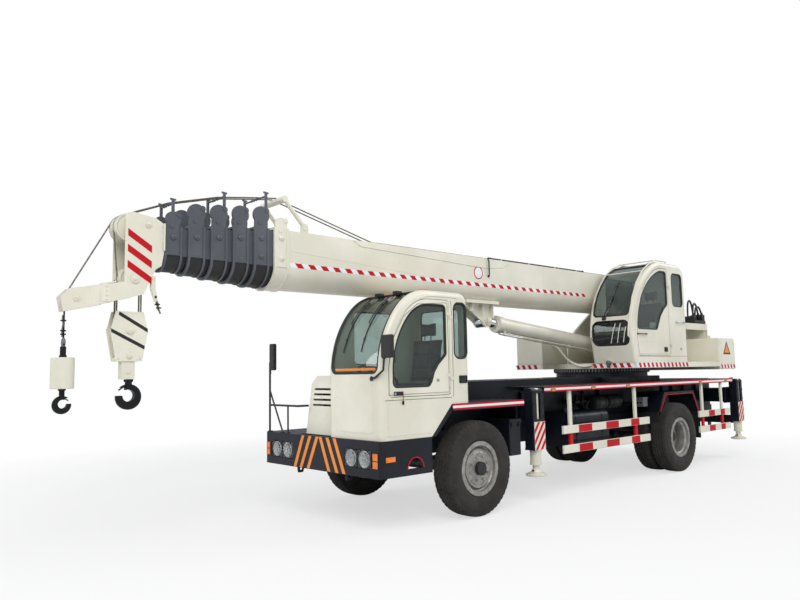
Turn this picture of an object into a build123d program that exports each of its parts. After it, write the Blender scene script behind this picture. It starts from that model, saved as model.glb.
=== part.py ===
from build123d import *
import math
import os

# Lengths are millimetres. While the model is drawn, x is measured forward from the
# front axle, y to the left from the centre plane and z up from the ground.
run_gap = 0.3

# Wheels and axles
wheelbase = 4490.0
rear_x = -wheelbase
tyre_radius = 510.0
tyre_width = 250.0
rim_seat_radius = 258.0
rim_flange_radius = 290.0
rim_half_width = 108.0
front_wheel_y = 975.0
rear_outer_y = 985.0
twin_spacing = 285.0
kingpin_y = 770.0
kingpin_radius = 22.0
spindle_radius = 42.0
hub_cap_radius = 72.0
drum_radius = 205.0
hand_holes = 6
wheel_studs = 8
stud_ring = 130.0
stud_radius = 12.0
stud_reach = 20.0
hand_hole_ring = 197.0
hand_hole_radius = 24.0
disc_thick = 14.0
disc_reach = 50.0
front_dish = 92.0
front_hub_depth = 40.0
rear_hub_depth = 120.0
boss_low = 462.0
boss_high = 558.0
boss_radius = 42.0
beam_axle_low = 440.0
beam_axle_high = 540.0
spring_y = 435.0
leaf_pitch = 11.0

# Carrier
body_half_width = 1040.0
bumper_front = 1371.0
bumper_rear = 672.0
bumper_low = 538.0
floor_level = 894.0
rail_low = 640.0
rail_inner_y = 400.0
rail_outer_y = 470.0
spine_front = -100.0
spine_half_width = 450.0
spine_top = 1430.0
chassis_rear = -6950.0
rail_top = 880.0
rail_web = 10.0
rail_flange = 12.0
spine_rib = 40.0
deck_top = 1349.0
deck_depth = 65.0
low_deck_top = 1213.0
low_deck_depth = 74.0
deck_plate = 10.0
bumper_depth = 40.0
bumper_half_width = 1035.0
bumper_rounding = 30.0
step_radius = 105.0
guard_heights = (514.0, 754.0)
guard_height = 100.0
guard_gap = 270.0
gearbox_rear = -450.0

# Outriggers: name of each pair and the middle of its two beam cells, forward pair first
beam_width = 130.0
beam_height = 200.0
beam_low = 960.0
beam_wall = 12.0
beam_clearance = 5.0
column_low = 606.0
column_top = 1335.0
column_outer_y = 1040.0
column_width = 220.0
column_depth = 140.0
column_chamfer = 30.0
window_half_width = 37.0
window_low = 970.0
leg_plate_top = 940.0
window_high = 1275.0
barrel_low = 430.0
jack_barrel_radius = 54.0
jack_sleeve_radius = 66.0
jack_rod_radius = 40.0
jack_piston_radius = 46.0
beam_plate = 10.0
column_plate = 10.0
casing_lip = 18.0
float_radius = 125.0
float_low = 300.0
piston_low = 960.0
outrigger_rows = [("front", -1040.0), ("rear", -6740.0)]
tow_bore_radius = 20.0
tow_lug_y = 435.0
tow_lug_z = 510.0
tow_lug_thick = 26.0

# Driver's cab and engine cover
cab_right_y = 160.0
cab_left_y = 1030.0
cab_front = 1335.0
cab_rear = 70.0
cab_sill = 1560.0
cab_roof = 2411.0
screen_radius = 1000.0
screen_turn = 42.2
cab_rear_radius = 120.0
cab_rounding = 60.0
pillar = 64.0
dash_inset = 37.0
wall = 35.0
glass_depth = 14.0
glass_thick = 6.0
pane_back = glass_depth + glass_thick
door_gap = 6.0
door_rear_x = 372.0
hinge_radius = 9.0
hinge_stand = 10.0
hinge_length = 32.0
hood_right_y = -415.0
hood_front = 1240.0
hood_top = 1531.0
hood_rear = 60.0
hood_rounding = 30.0
sheet = 6.0

# Slewing superstructure
slew_x = -4150.0
ring_radius = 734.0
ring_low = 1500.0
pedestal_radius = 700.0
ring_top = 1555.0
table_low = ring_top + run_gap
table_top = 1635.0
table_half_width = 1020.0
table_front = -3310.0
side_plate_y = 266.0
side_plate = 28.0
side_plate_top = 2310.0
winch_frame_front = -5900.0
winch_frame_y = 560.0
frame_sheet = 12.0
opcab_right_y = 302.0
opcab_left_y = 1020.0
opcab_floor = table_top
op_front = -3470.0
op_rear = -5040.0
op_top = 3160.0
op_knee = (-3395.0, 1980.0)
op_rounding = 50.0
op_door_rear = -4500.0
guard_radius = 11.0
guard_stand = 32.0
guard_inset = 52.0
weight_front = -6190.0
weight_rear = -6820.0
weight_half_width = 1000.0
weight_low = 1505.0
weight_top = 2035.0

# Boom: the sections nest about one axis
boom_z = 2722.0
pivot_x = -5450.0
pivot_radius = 55.0
boom_rear = -5750.0
base_front = 2054.0
base_half_width = 240.0
base_half_height = 297.0
base_cavity_rear = -5330.0
section_step_y = 20.0
section_step_z = 20.5
section_pitch = 219.0
section_count = 5
tube_wall = 8.0
collar_length = 170.0
collar_rise = 8.0
rib_length = 22.0
rib_rise = 16.0
low_ear = (72.0, 48.0)
high_ear = (90.0, 142.0)
last_ear = (74.0, 80.0)
pad_bolt_rise = 207.0
crease_share = 0.30
guide_tops = {1: 3391.0, 3: 3328.0, 5: 3197.0}
link_foot = (1662.0, 3085.0)
link_top = (1907.0, 3350.0)

# Luffing cylinder
foot_x = -4300.0
foot_z = 1900.0
eye_x = -1330.0
eye_z = 2215.0
barrel_radius = 105.0
rod_radius = 62.0
eye_half_width = 60.0
luff_pin_radius = 38.0

# Boom head and hooks
head_plate_y = 150.0
head_plate = 12.0
head_sheave_x = 3412.0
head_sheave_z = 2420.0
head_sheave_radius = 110.0
top_sheave_x = 3435.0
top_sheave_z = 2885.0
top_sheave_radius = 130.0
nose_half_width = 60.0
nose_sheave_x = 3868.2
nose_sheave_z = 2235.0
nose_sheave_radius = 78.0
rope_radius = 7.0
rope_y = 25.0
groove_depth = 11.0
groove_half_width = 8.0
block_top = 2135.0
block_low = 1697.0
ball_radius = 92.5
ball_top = 1731.0
ball_low = 1471.0
cheek_y = 46.0

rope_line = rope_radius + run_gap - groove_depth
ball_x = nose_sheave_x + nose_sheave_radius + rope_line
mid_x = (ball_x + ball_radius + chassis_rear) / 2
os.makedirs("parts", exist_ok=True)


def block(x0, x1, y0, y1, z0, z1):
    centre = Pos((x0 + x1) / 2, (y0 + y1) / 2, (z0 + z1) / 2)
    return centre * Box(abs(x1 - x0), abs(y1 - y0), abs(z1 - z0))


def side_prism(points, y0, y1):
    face = Plane.XZ * Polygon(*points, align=None)
    return Pos(0, y0, 0) * extrude(face, y1 - y0, dir=(0, 1, 0))


def front_prism(points, x0, x1):
    face = Plane.YZ * Polygon(*points, align=None)
    return Pos(x0, 0, 0) * extrude(face, x1 - x0, dir=(1, 0, 0))


def plan_prism(points, z0, z1):
    return Pos(0, 0, z0) * extrude(Polygon(*points, align=None), z1 - z0, dir=(0, 0, 1))


def rod(start, end, radius):
    a = Vector(*start)
    d = Vector(*end) - a
    along = Cylinder(radius, d.length, align=(Align.CENTER, Align.CENTER, Align.MIN))
    return Plane(origin=a, z_dir=d) * along


def cross_rod(x, z, y0, y1, radius):
    return rod((x, y0, z), (x, y1, z), radius)


def tube_path(points, radius):
    # A bent tube as straight runs with a ball at each bend
    shape = rod(points[0], points[1], radius)
    for a, b in zip(points[1:], points[2:]):
        shape += rod(a, b, radius) + Pos(*a) * Sphere(radius)
    return shape


def flip_y(shape):
    return mirror(shape, about=Plane.XZ)


def both_sides(shape):
    return shape + flip_y(shape)


def face_prism(face, y0, y1):
    return Pos(0, y0, 0) * extrude(Plane.XZ * face, y1 - y0, dir=(0, 1, 0))


def write(node, shape):
    export_step(Pos(-mid_x, 0, 0) * shape, f"parts/{node}.step")


# Wheels

def wheel_ring(profile, x, y):
    # profile holds (offset across, radius) pairs turned about the axle line
    face = Plane.YZ * Polygon(*profile, align=None)
    ring = revolve(face, axis=Axis.Y)
    return Pos(x, y, tyre_radius) * ring


def tyre(x, y):
    half = tyre_width / 2
    seat = rim_half_width - 16
    right = [(seat, rim_seat_radius + run_gap), (seat, rim_flange_radius + 2),
             (rim_half_width, rim_flange_radius + 12), (half - 3, 350),
             (half, 400), (half - 8, 445), (half - 22, 480), (half - 45, 502),
             (half - 75, tyre_radius)]
    left = [(-a, r) for a, r in reversed(right)]
    return wheel_ring(right + left, x, y)


def rim_barrel(x, y):
    edge = rim_half_width
    seat = edge - 16 + run_gap
    right = [(0, rim_seat_radius - 40), (55, rim_seat_radius - 36), (75, rim_seat_radius - 18),
             (edge, rim_seat_radius - 14), (edge, rim_flange_radius), (seat, rim_flange_radius),
             (seat, rim_seat_radius), (0, rim_seat_radius)]
    left = [(-a, r) for a, r in reversed(right)][1:-1]
    return wheel_ring(right + left, x, y)


def rim_disc(x, y, side, dish, reach, inner):
    # dish is the hub face's offset from the rim's middle, reach how far the disc
    # runs along the barrel before it meets it, inner the radius where it does
    bore = spindle_radius + run_gap
    lip = dish + reach
    points = [(lip, inner), (dish + reach * 0.4, 205), (dish, 165), (dish, bore),
              (dish - disc_thick, bore), (dish - disc_thick, 160),
              (dish + reach * 0.4 - disc_thick, 198), (lip - disc_thick, inner)]
    disc = wheel_ring([(a * side, r) for a, r in points], x, y)
    for k in range(hand_holes):
        turn = math.radians(360 / hand_holes * k)
        cx = x + hand_hole_ring * math.cos(turn)
        cz = tyre_radius + hand_hole_ring * math.sin(turn)
        disc -= cross_rod(cx, cz, y - 200, y + 200, hand_hole_radius)
    return disc


def sleeve(x, y0, y1, radius):
    # A ring on the wheel's axis with room for the spindle
    bore = spindle_radius + run_gap
    return cross_rod(x, tyre_radius, y0, y1, radius) - cross_rod(x, tyre_radius, y0, y1, bore)


def hub_cap(x, face_y, side, depth):
    closed = cross_rod(x, tyre_radius, face_y, face_y + depth * side, hub_cap_radius)
    room = (depth - 10) * side
    return closed - cross_rod(x, tyre_radius, face_y, face_y + room, spindle_radius + run_gap)


def nut_ring(x, face_y, side):
    nuts = Part()
    for k in range(wheel_studs):
        turn = math.radians(360 / wheel_studs * (k + 0.5))
        cx = x + stud_ring * math.cos(turn)
        cz = tyre_radius + stud_ring * math.sin(turn)
        nuts += cross_rod(cx, cz, face_y - 2 * side, face_y + stud_reach * side, stud_radius)
    return nuts


twin_dish = disc_thick - twin_spacing / 2
for side, tag in ((1, "left"), (-1, "right")):
    y = front_wheel_y * side
    face_y = y + front_dish * side
    write(f"front_tyre_{tag}", tyre(0, y))
    rim = rim_barrel(0, y) + rim_disc(0, y, side, front_dish, -disc_reach, rim_seat_radius - 30)
    rim += sleeve(0, y - 70 * side, face_y - 10 * side, drum_radius)
    rim += hub_cap(0, face_y, side, front_hub_depth) + nut_ring(0, face_y, side)
    write(f"front_rim_{tag}", rim)

    outer = rear_outer_y * side
    inner = outer - twin_spacing * side
    face_y = outer + twin_dish * side
    write(f"rear_tyres_{tag}", tyre(-wheelbase, outer) + tyre(-wheelbase, inner))
    rims = rim_barrel(-wheelbase, outer) + rim_barrel(-wheelbase, inner)
    rims += rim_disc(-wheelbase, outer, side, twin_dish, disc_reach, rim_seat_radius - 14)
    rims += rim_disc(-wheelbase, inner, -side, twin_dish, disc_reach, rim_seat_radius - 14)
    rims += hub_cap(-wheelbase, face_y, side, rear_hub_depth) + nut_ring(-wheelbase, face_y, side)
    rims += sleeve(-wheelbase, inner - 60 * side, face_y - disc_thick * 1.5 * side, drum_radius)
    write(f"rear_rims_{tag}", rims)


# Front axle, knuckles and rear axle

def leaf_stack(x, side, low, reaches, seat_low):
    # Leaves from the longest at the top down, with hangers up to the rail
    y0 = side * (spring_y - 35)
    y1 = side * (spring_y + 35)
    stack = block(x - 60, x + 60, side * (spring_y - 45), side * (spring_y + 45), seat_low, low)
    for k, reach in enumerate(reaches):
        z = low + leaf_pitch * (len(reaches) - 1 - k)
        stack += block(x - reach, x + reach, y0, y1, z, z + leaf_pitch)
    top = low + leaf_pitch * len(reaches)
    for end in (-1, 1):
        a = x + end * reaches[0]
        stack += block(a, a - end * 50, y0, y1, top, rail_low)
    return stack


axle = block(-45, 45, -620, 620, beam_axle_low, beam_axle_high)
for cut in (1, -1):
    axle -= block(cut * 16, cut * 60, -590, 590, beam_axle_low + 16, beam_axle_high - 16)
beam_end = block(-40, 40, 590, kingpin_y - 20, boss_low, boss_high)
boss = rod((0, kingpin_y, boss_low), (0, kingpin_y, boss_high), boss_radius)
pin = rod((0, kingpin_y, boss_low - 57), (0, kingpin_y, boss_high + 57), kingpin_radius)
axle += both_sides(beam_end + boss + pin)
for side in (1, -1):
    axle += leaf_stack(0, side, 562, (620, 520, 400, 280), beam_axle_high)
write("front_axle", axle)

spindle_tip = front_wheel_y + front_dish + front_hub_depth - 20
for side, tag in ((1, "left"), (-1, "right")):
    knuckle_y = kingpin_y + boss_radius + 4
    flange_y = knuckle_y + 40
    knuckle = block(-44, 44, knuckle_y, flange_y, boss_low - 44, boss_high + 44)
    for low in (boss_low - 44 - run_gap, boss_high + run_gap):
        high = low + 44
        knuckle += rod((0, kingpin_y, low), (0, kingpin_y, high), boss_radius + 2)
        knuckle += block(-44, 44, kingpin_y, knuckle_y, low, high)
        knuckle -= rod((0, kingpin_y, low), (0, kingpin_y, high), kingpin_radius + run_gap)
    knuckle += cross_rod(0, tyre_radius, flange_y, spindle_tip, spindle_radius)
    write(f"knuckle_{tag}", knuckle if side > 0 else flip_y(knuckle))

rear = cross_rod(rear_x, tyre_radius, -600, 600, 70)
rear += both_sides(cross_rod(rear_x, tyre_radius, 590, rear_outer_y + twin_dish + rear_hub_depth - 20,
                             spindle_radius))
rear += Pos(rear_x, 0, tyre_radius) * Sphere(175)
rear += rod((rear_x, 0, tyre_radius), (rear_x + 260, 0, tyre_radius), 70)
for side in (1, -1):
    rear += leaf_stack(rear_x, side, 584, (700, 620, 520, 420, 320), tyre_radius)
write("rear_axle", rear)


# Chassis: rails, spine, slewing pedestal and outrigger casings

def beam_cell(middle, side):
    # x range of one beam's cell: the left beam runs in the rear cell
    cell = beam_width + 2 * beam_clearance
    offset = -side * (cell + beam_wall) / 2
    return middle + offset - cell / 2, middle + offset + cell / 2


def tow_lug(x, direction):
    # A plate under the rail with a pin hole; direction is the way the vehicle is pulled
    points = [(-55, rail_low), (-45, 530), (-18, 470), (34, 470), (40, 500), (40, rail_low)]
    outline = [(x + a * direction, z) for a, z in points]
    y0 = tow_lug_y - tow_lug_thick / 2
    y1 = tow_lug_y + tow_lug_thick / 2
    lug = side_prism(outline, y0, y1)
    return both_sides(lug - cross_rod(x, tow_lug_z, y0, y1, tow_bore_radius))


web_y = rail_outer_y - rail_web
rail = block(bumper_front - bumper_depth, chassis_rear, rail_inner_y, rail_outer_y,
             rail_low, rail_top)
rail -= block(bumper_front, chassis_rear - 1, rail_inner_y, web_y,
              rail_low + rail_flange, rail_top - rail_flange)
frame = both_sides(rail)
frame += block(spine_front, slew_x, -spine_half_width, spine_half_width, rail_top, spine_top)
frame += block(slew_x, chassis_rear, -spine_half_width, spine_half_width, rail_top, deck_top)
for x in (1200, -700, -2000, -3000, -3700, -5400, -6300):
    frame += block(x - 40, x + 40, -web_y, web_y, 800, rail_top)
for x in (1180, 760):
    frame += block(x - 50, x + 50, rail_inner_y, rail_outer_y, rail_top, floor_level)
for x in (-1500, -1850, -2900, -3300, -5500, -5900, -6350):
    rib_top = deck_top - deck_depth
    rib = [(spine_half_width, rail_top + 20), (spine_half_width + spine_rib, rail_top + 60),
           (spine_half_width + spine_rib, rib_top - 40), (spine_half_width, rib_top)]
    frame += both_sides(front_prism(rib, x - 6, x + 6))
frame += rod((slew_x, 0, spine_top), (slew_x, 0, ring_low), pedestal_radius)
frame += rod((slew_x, 0, ring_low), (slew_x, 0, ring_top), ring_radius)
frame += block(slew_x - ring_radius, slew_x + ring_radius, -600, 600, deck_top, spine_top)
casing_end = column_outer_y - column_depth - beam_clearance
for name, middle in outrigger_rows:
    x0 = beam_cell(middle, 1)[0] - beam_wall
    x1 = beam_cell(middle, -1)[1] + beam_wall
    z0 = beam_low - beam_clearance
    z1 = beam_low + beam_height + beam_clearance
    frame += block(x0, x1, -casing_end, casing_end, z0 - beam_wall, z1 + beam_wall)
    frame += both_sides(block(x0 - casing_lip, x1 + casing_lip, casing_end - 40, casing_end,
                              z0 - beam_wall - casing_lip, z1 + beam_wall + casing_lip))
    for side in (1, -1):
        a, b = beam_cell(middle, side)
        frame -= block(a, b, -casing_end, casing_end, z0, z1)
rear_beam_x = chassis_rear + 10
rear_beam_y = column_outer_y - column_depth - 30
frame += block(rear_beam_x, rear_beam_x + 20, -rear_beam_y, rear_beam_y, 560, 700)
frame += both_sides(block(rear_beam_x, rear_beam_x + 20, rear_beam_y - 60, rear_beam_y, 560, 820))
for side in (1, -1):
    for low, high in ((640, 730), (738, 810)):
        frame += block(chassis_rear, rear_beam_x, side * low, side * high, 590, 680)
frame += tow_lug(1285, 1) + tow_lug(chassis_rear + 41, -1)
write("chassis_frame", frame)

for name, middle in outrigger_rows:
    for side, tag in ((1, "left"), (-1, "right")):
        a, b = beam_cell(middle, side)
        centre = (a + b) / 2
        inner_y = -(casing_end - 25)
        face_y = column_outer_y - column_depth
        shaft_y = column_outer_y - column_depth / 2
        beam = block(a + beam_clearance, b - beam_clearance, inner_y, face_y + column_plate,
                     beam_low, beam_low + beam_height)
        beam -= block(a + beam_clearance + beam_plate, b - beam_clearance - beam_plate, inner_y, face_y,
                      beam_low + beam_plate, beam_low + beam_height - beam_plate)
        beam += block(a + beam_clearance, b - beam_clearance, inner_y, inner_y + 60,
                      beam_low - beam_clearance + run_gap, beam_low)
        left = centre - column_width / 2
        right = centre + column_width / 2
        column = block(left, right, face_y, column_outer_y, column_low, column_top)
        edges = column.edges().filter_by(Axis.X).group_by(Axis.Z)[-1]
        column = chamfer(edges.sort_by(Axis.Y)[-1], column_chamfer)
        column = fillet(column.edges().filter_by(Axis.Z), 12)
        room_top = column_top - column_chamfer - column_plate
        column -= block(left + column_plate, right - column_plate, face_y + column_plate,
                        column_outer_y - column_plate, column_low - 1, room_top)
        column -= block(centre - window_half_width, centre + window_half_width, shaft_y, column_outer_y,
                        window_low, window_high)
        column += block(left, right, face_y, column_outer_y, column_low, column_low + 20)
        column += rod((centre, shaft_y, barrel_low), (centre, shaft_y, column_low), jack_sleeve_radius)
        for low in (barrel_low, column_low - 30):
            column += rod((centre, shaft_y, low), (centre, shaft_y, low + 30), jack_sleeve_radius + 4)
        column += rod((centre, shaft_y, column_low), (centre, shaft_y, window_high + 10),
                      jack_barrel_radius)
        column += block(left, right, face_y, column_outer_y - 10, window_high + 8, window_high + 20)
        column += block(left + 6, right - 6, column_outer_y, column_outer_y + 6, column_low, leg_plate_top)
        for low, high, radius in ((barrel_low, barrel_low + 60, jack_rod_radius),
                                  (barrel_low + 60, window_high - 10, jack_piston_radius)):
            column -= rod((centre, shaft_y, low), (centre, shaft_y, high), radius + run_gap)
        foot = [(0, 0), (float_radius - 12, 0), (float_radius, 10), (float_radius, 20),
                (float_radius - 12, 28), (62, 50), (50, 74), (jack_rod_radius, 82)]
        jack_profile = [(r, float_low + rise) for r, rise in foot]
        jack_profile += [(jack_rod_radius, piston_low), (jack_piston_radius, piston_low),
                         (jack_piston_radius, piston_low + 50), (0, piston_low + 50)]
        jack = Pos(centre, shaft_y, 0) * revolve(Plane.XZ * Polygon(*jack_profile, align=None), axis=Axis.Z)
        beam += column
        if side < 0:
            beam = flip_y(beam)
            jack = flip_y(jack)
        write(f"outrigger_beam_{name}_{tag}", beam)
        write(f"outrigger_jack_{name}_{tag}", jack)


# Bumper, decks, guards and mudguards

bumper = block(bumper_front - bumper_depth, bumper_front, -bumper_half_width, bumper_half_width,
               bumper_low, floor_level)
bumper += both_sides(block(bumper_rear, bumper_front - bumper_depth, bumper_half_width - 30,
                           bumper_half_width, bumper_low, floor_level))
bumper = fillet(bumper.edges().filter_by(Axis.Z).group_by(Axis.X)[-1], bumper_rounding)
for side in (1, -1):
    bumper -= block(bumper_front - 25, bumper_front, side * 470, side * 900, 622, 802)
step_x = 904
step_ring = rod((step_x, bumper_half_width - 35, 600), (step_x, bumper_half_width, 600), step_radius)
step_hole = step_ring - block(step_x - 120, step_x + 120, 990, 1050, 480, 600)
bumper -= both_sides(step_hole)
bumper += block(1120, bumper_front - bumper_depth, -bumper_half_width + 30, -750,
                bumper_low, bumper_low + 30)
bumper += both_sides(block(bumper_front - 20, bumper_front + 4, 905, 912, 640, 780))
write("front_bumper", bumper)

lamps = Part()
for side in (1, -1):
    for low, high in ((474, 682), (688, 896)):
        middle = side * (low + high) / 2
        dish = Pos(bumper_front - 12, middle, 712) * Rot(0, 90, 0) * Cone(44, 78, 20)
        body = block(bumper_front - 25, bumper_front - 2, side * low, side * high, 626, 798)
        lamps += chamfer(body.edges().filter_by(Axis.X), 8) - dish
write("headlamps", lamps)


def deck_panel(x0, x1, inner_y, outer_y, top, depth, ribs):
    panel = block(x0, x1, inner_y, outer_y, top - deck_plate, top)
    panel += block(x0, x1, outer_y - 10, outer_y, top - depth, top)
    panel += block(x0, x1, outer_y - 40, outer_y, top - depth, top - depth + 8)
    for k in range(ribs):
        x = x0 + (x1 - x0) * (k + 0.5) / ribs
        panel += block(x - 4, x + 4, inner_y, outer_y, top - depth, top)
        panel += block(x - 25, x + 25, inner_y, outer_y, top - depth, top - depth + 8)
    return panel


# The decks stop clear of the outrigger columns, which are wider than their beams
column_stand = (column_width - beam_width) / 2 + beam_clearance
casing_front = beam_cell(outrigger_rows[0][1], -1)[1] + column_stand
casing_back = beam_cell(outrigger_rows[0][1], 1)[0] - column_stand
rear_casing = beam_cell(outrigger_rows[1][1], -1)[1] + column_stand
deck = deck_panel(casing_back, rear_casing, spine_half_width, body_half_width, deck_top, deck_depth, 8)
deck += deck_panel(360, casing_front, spine_half_width, body_half_width, low_deck_top, low_deck_depth, 2)
deck -= block(slew_x - ring_radius, slew_x + ring_radius, 0, 600, deck_top, spine_top)
deck = both_sides(deck)
deck += block(bumper_rear, bumper_front - bumper_depth, -bumper_half_width + 30, hood_right_y,
              floor_level - deck_plate, floor_level)
deck += block(bumper_rear, bumper_front - bumper_depth, hood_right_y, -rail_inner_y, rail_top, floor_level)
write("deck", deck)

# Guard rails stand off the tyres by a named gap at each end
guards = Part()
rear_front_end = rear_x + tyre_radius + guard_gap
rear_back_end = rear_x - tyre_radius - guard_gap
guard_rows = [(-1608, rear_front_end, (-1808, rear_front_end + 330)),
              (rear_back_end, -6388, (rear_back_end - 180, -6155))]
for start, end, posts in guard_rows:
    for low in guard_heights:
        bar = block(start, end, body_half_width - 30, body_half_width - 5, low, low + guard_height)
        guards += both_sides(fillet(bar.edges().filter_by(Axis.X).group_by(Axis.Y)[-1], 8))
    for x in posts:
        guards += both_sides(block(x - 32, x + 32, body_half_width - 55, body_half_width - 30,
                                   guard_heights[0], deck_top - deck_depth))
write("side_guards", guards)

mud = both_sides(side_prism([(665, floor_level), (360, low_deck_top), (360, 1139), (602, floor_level)],
                            640, body_half_width - 10))
outer_arch = [(451, 894), (254, 1185), (-678, 1185), (-871, 834)]
inner_arch = [(-862, 834), (-672, 1177), (249, 1177), (442, 894)]
skirt_arch = [(-824, 834), (-648, 1140), (225, 1140), (404, 894)]
outer_arch = [(rear_x + a, z) for a, z in outer_arch]
inner_arch = [(rear_x + a, z) for a, z in inner_arch]
skirt_arch = [(rear_x + a, z) for a, z in skirt_arch]
mud += both_sides(side_prism(outer_arch + inner_arch, 560, 1005))
mud += both_sides(side_prism(outer_arch + skirt_arch, 997, 1005))
mud += both_sides(block(rear_x - 270, rear_x - 170, 700, 760, 1185, deck_top - deck_plate - run_gap))
write("mudguards", mud)


# Engine with gearbox, driveline, tanks and boxes

engine = block(200, 1050, -330, 130, 640, 1380) + block(gearbox_rear, 200, -190, 130, 620, 870)
engine += block(500, 600, -web_y, web_y, 700, 760)
write("engine", engine)
shaft = rod((gearbox_rear + 20, 0, 745), (rear_x + 240, 0, tyre_radius), 42)
shaft = shaft & block(rear_x + 260, gearbox_rear, -100, 100, 300, 900)
write("propshaft", shaft)

tank = block(-1900, -2800, 500, 930, 560, 1000)
tank = fillet(tank.edges().filter_by(Axis.X), 90)
for x in (-2050, -2350, -2650):
    tank += block(x - 25, x + 25, 470, 506, 640, rail_top)
for x in (-2050, -2650):
    strap = block(x - 20, x + 20, 496, 934, 556, 1004)
    tank += fillet(strap.edges().filter_by(Axis.X), 92)
tank += rod((-1990, 800, 985), (-1990, 800, 1028), 46)
oil = chamfer(block(-1900, -2800, 500, 930, 560, 1000).edges(), 12)
for x in (-2050, -2650):
    oil += block(x - 40, x + 40, 470, 501, 640, rail_top)
oil += rod((-2700, 700, 999), (-2700, 700, 1040), 52)
write("side_tanks", tank + flip_y(oil))
box = chamfer(block(-625, -825, 480, 990, 575, 985).edges(), 10)
box += block(-665, -785, 470, 481, 640, rail_top)
box += block(-620, -830, 476, 996, 940, 990) - block(-630, -820, 486, 986, 930, 980)
write("battery_boxes", both_sides(box))

rail = rod((1330, -1015, floor_level), (1330, -1015, 1700), 12)
rail += rod((1330, -1015, 1200), (1330, -430, 1200), 12)
rail += rod((1330, -1015, 1372), (1330, -735, floor_level), 10)
rail += rod((1330, -628, 1200), (1330, -628, floor_level), 10)
rail += rod((1330, -430, 1200), (1190, -415, 1200), 12)
rail -= block(0, hood_front, hood_right_y, 0, floor_level, hood_top)
rail &= block(1000, 1400, -1100, 0, floor_level, 2000)
for y in (-1000, -745, -628):
    rail += rod((1330, y, floor_level), (1330, y, floor_level + 8), 30)
write("handrail", rail)

right_mirror = fillet(block(1306, 1352, -1003, -905, 1605, 1918).edges(), 14)
left_mirror = fillet(block(1306, 1352, 1042, 1198, 1697, 1922).edges(), 14)
mirrors = right_mirror + block(1324, 1336, -1002.7, -995, 1560, 1640) + left_mirror
mirrors += tube_path([(1345.3, 900, 1500), (1352, 960, 1510), (1352, 1080, 1580), (1340, 1080, 1702)], 10)
mirrors -= block(1200, cab_front + run_gap, cab_right_y, cab_left_y, floor_level, cab_roof)
write("mirrors", mirrors)


# Cab shells, glass, doors and seats

def inset(face, depth):
    return offset(face, amount=-depth, kind=Kind.INTERSECTION)


def strip_face(x0, x1, z0, z1):
    return Pos((x0 + x1) / 2, (z0 + z1) / 2) * Rectangle(abs(x1 - x0), abs(z1 - z0))


def pane_face(x0, x1, z0, z1, radius):
    centre = Pos((x0 + x1) / 2, (z0 + z1) / 2)
    return centre * RectangleRounded(abs(x1 - x0), abs(z1 - z0), radius)


def soften(outline, radius, above=0):
    # Rounds a flat outline's corners higher than above and leaves its tangent joints alone
    face = outline.face()
    corners = []
    for vertex in face.vertices():
        place = vertex.center()
        headings = [e % end for e in face.edges() for end in (0, 1) if (e @ end - place).length < 0.01]
        if place.Y > above and abs(headings[0].dot(headings[1])) < 0.9999:
            corners.append(vertex)
    return face.fillet_2d(radius, corners)


def rounded_prism(face, y0, y1, above, radius):
    # A prism whose side faces' edges are rounded where they reach higher than above
    shape = face_prism(face, y0, y1)
    edges = [e for e in shape.edges() if min(abs(e.center().Y - y0), abs(e.center().Y - y1)) < 1]
    return fillet([e for e in edges if max((e @ 0).Z, (e @ 1).Z) > above], radius)


def hollow(face, y0, y1, thick, above, radius):
    room = rounded_prism(inset(face, thick), y0 + thick, y1 - thick, above, radius - thick * 0.7)
    return rounded_prism(face, y0, y1, above, radius) - room


def hinge_pair(x, y, heights, on_door):
    # Barrels on the door's rear edge; the frame's half sits below the door's half
    parts = Part()
    for z in heights:
        low = z if on_door else z - hinge_length - run_gap
        parts += rod((x, y, low), (x, y, low + hinge_length), hinge_radius)
        reach = 40 if on_door else -40
        parts += block(x, x + reach, y - hinge_stand, y, low, low + hinge_length)
    return parts


def door_leaf(door_face, window, left_y, hinge_x, heights):
    leaf = face_prism(inset(door_face, door_gap), left_y - wall, left_y)
    leaf -= face_prism(window, left_y - wall, left_y)
    return leaf + hinge_pair(hinge_x, left_y + hinge_stand, heights, True)


def arc_point(centre, radius, turn):
    return centre[0] + radius * math.cos(turn), centre[1] + radius * math.sin(turn)


# Driver's cab: upright front, a screen of two tangent arcs, level roof, rear cut for the wheel
screen_turn_rad = math.radians(screen_turn)
screen_centre = (cab_front - screen_radius, cab_sill)
screen_end = arc_point(screen_centre, screen_radius, screen_turn_rad)
brow_radius = (cab_roof - screen_end[1]) / (1 - math.sin(screen_turn_rad))
brow_centre = arc_point(screen_end, -brow_radius, screen_turn_rad)
driver_edges = CenterArc(screen_centre, screen_radius, 0, screen_turn)
driver_edges += CenterArc(brow_centre, brow_radius, screen_turn, 90 - screen_turn)
driver_edges += Line((brow_centre[0], cab_roof), (cab_rear + cab_rear_radius, cab_roof))
driver_edges += CenterArc((cab_rear + cab_rear_radius, cab_roof - cab_rear_radius), cab_rear_radius, 90, 90)
driver_edges += Polyline((cab_rear, cab_roof - cab_rear_radius), (cab_rear, low_deck_top),
                         (360, low_deck_top), (665, floor_level), (cab_front, floor_level),
                         (cab_front, cab_sill))
driver_face = make_face(driver_edges)
driver_door_face = soften(inset(driver_face, 95) & strip_face(door_rear_x, 1400, 1310, 2322), 45)
driver_window = soften(inset(driver_door_face, 62) & Polygon(
    (690, 1412), (1400, 1412), (1400, 2400), (424, 2400), (424, 1745), (555, 1634), (616, 1552),
    (652, 1460), align=None), 45)
driver_hinges = (1500, 2150)
screen_face = pane_face(cab_right_y + pillar, cab_left_y - pillar, cab_sill - 5, 2600, 70)
screen_zone = Pos(830, 0, 0) * extrude(Plane.YZ * screen_face, 600, dir=(1, 0, 0))
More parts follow.
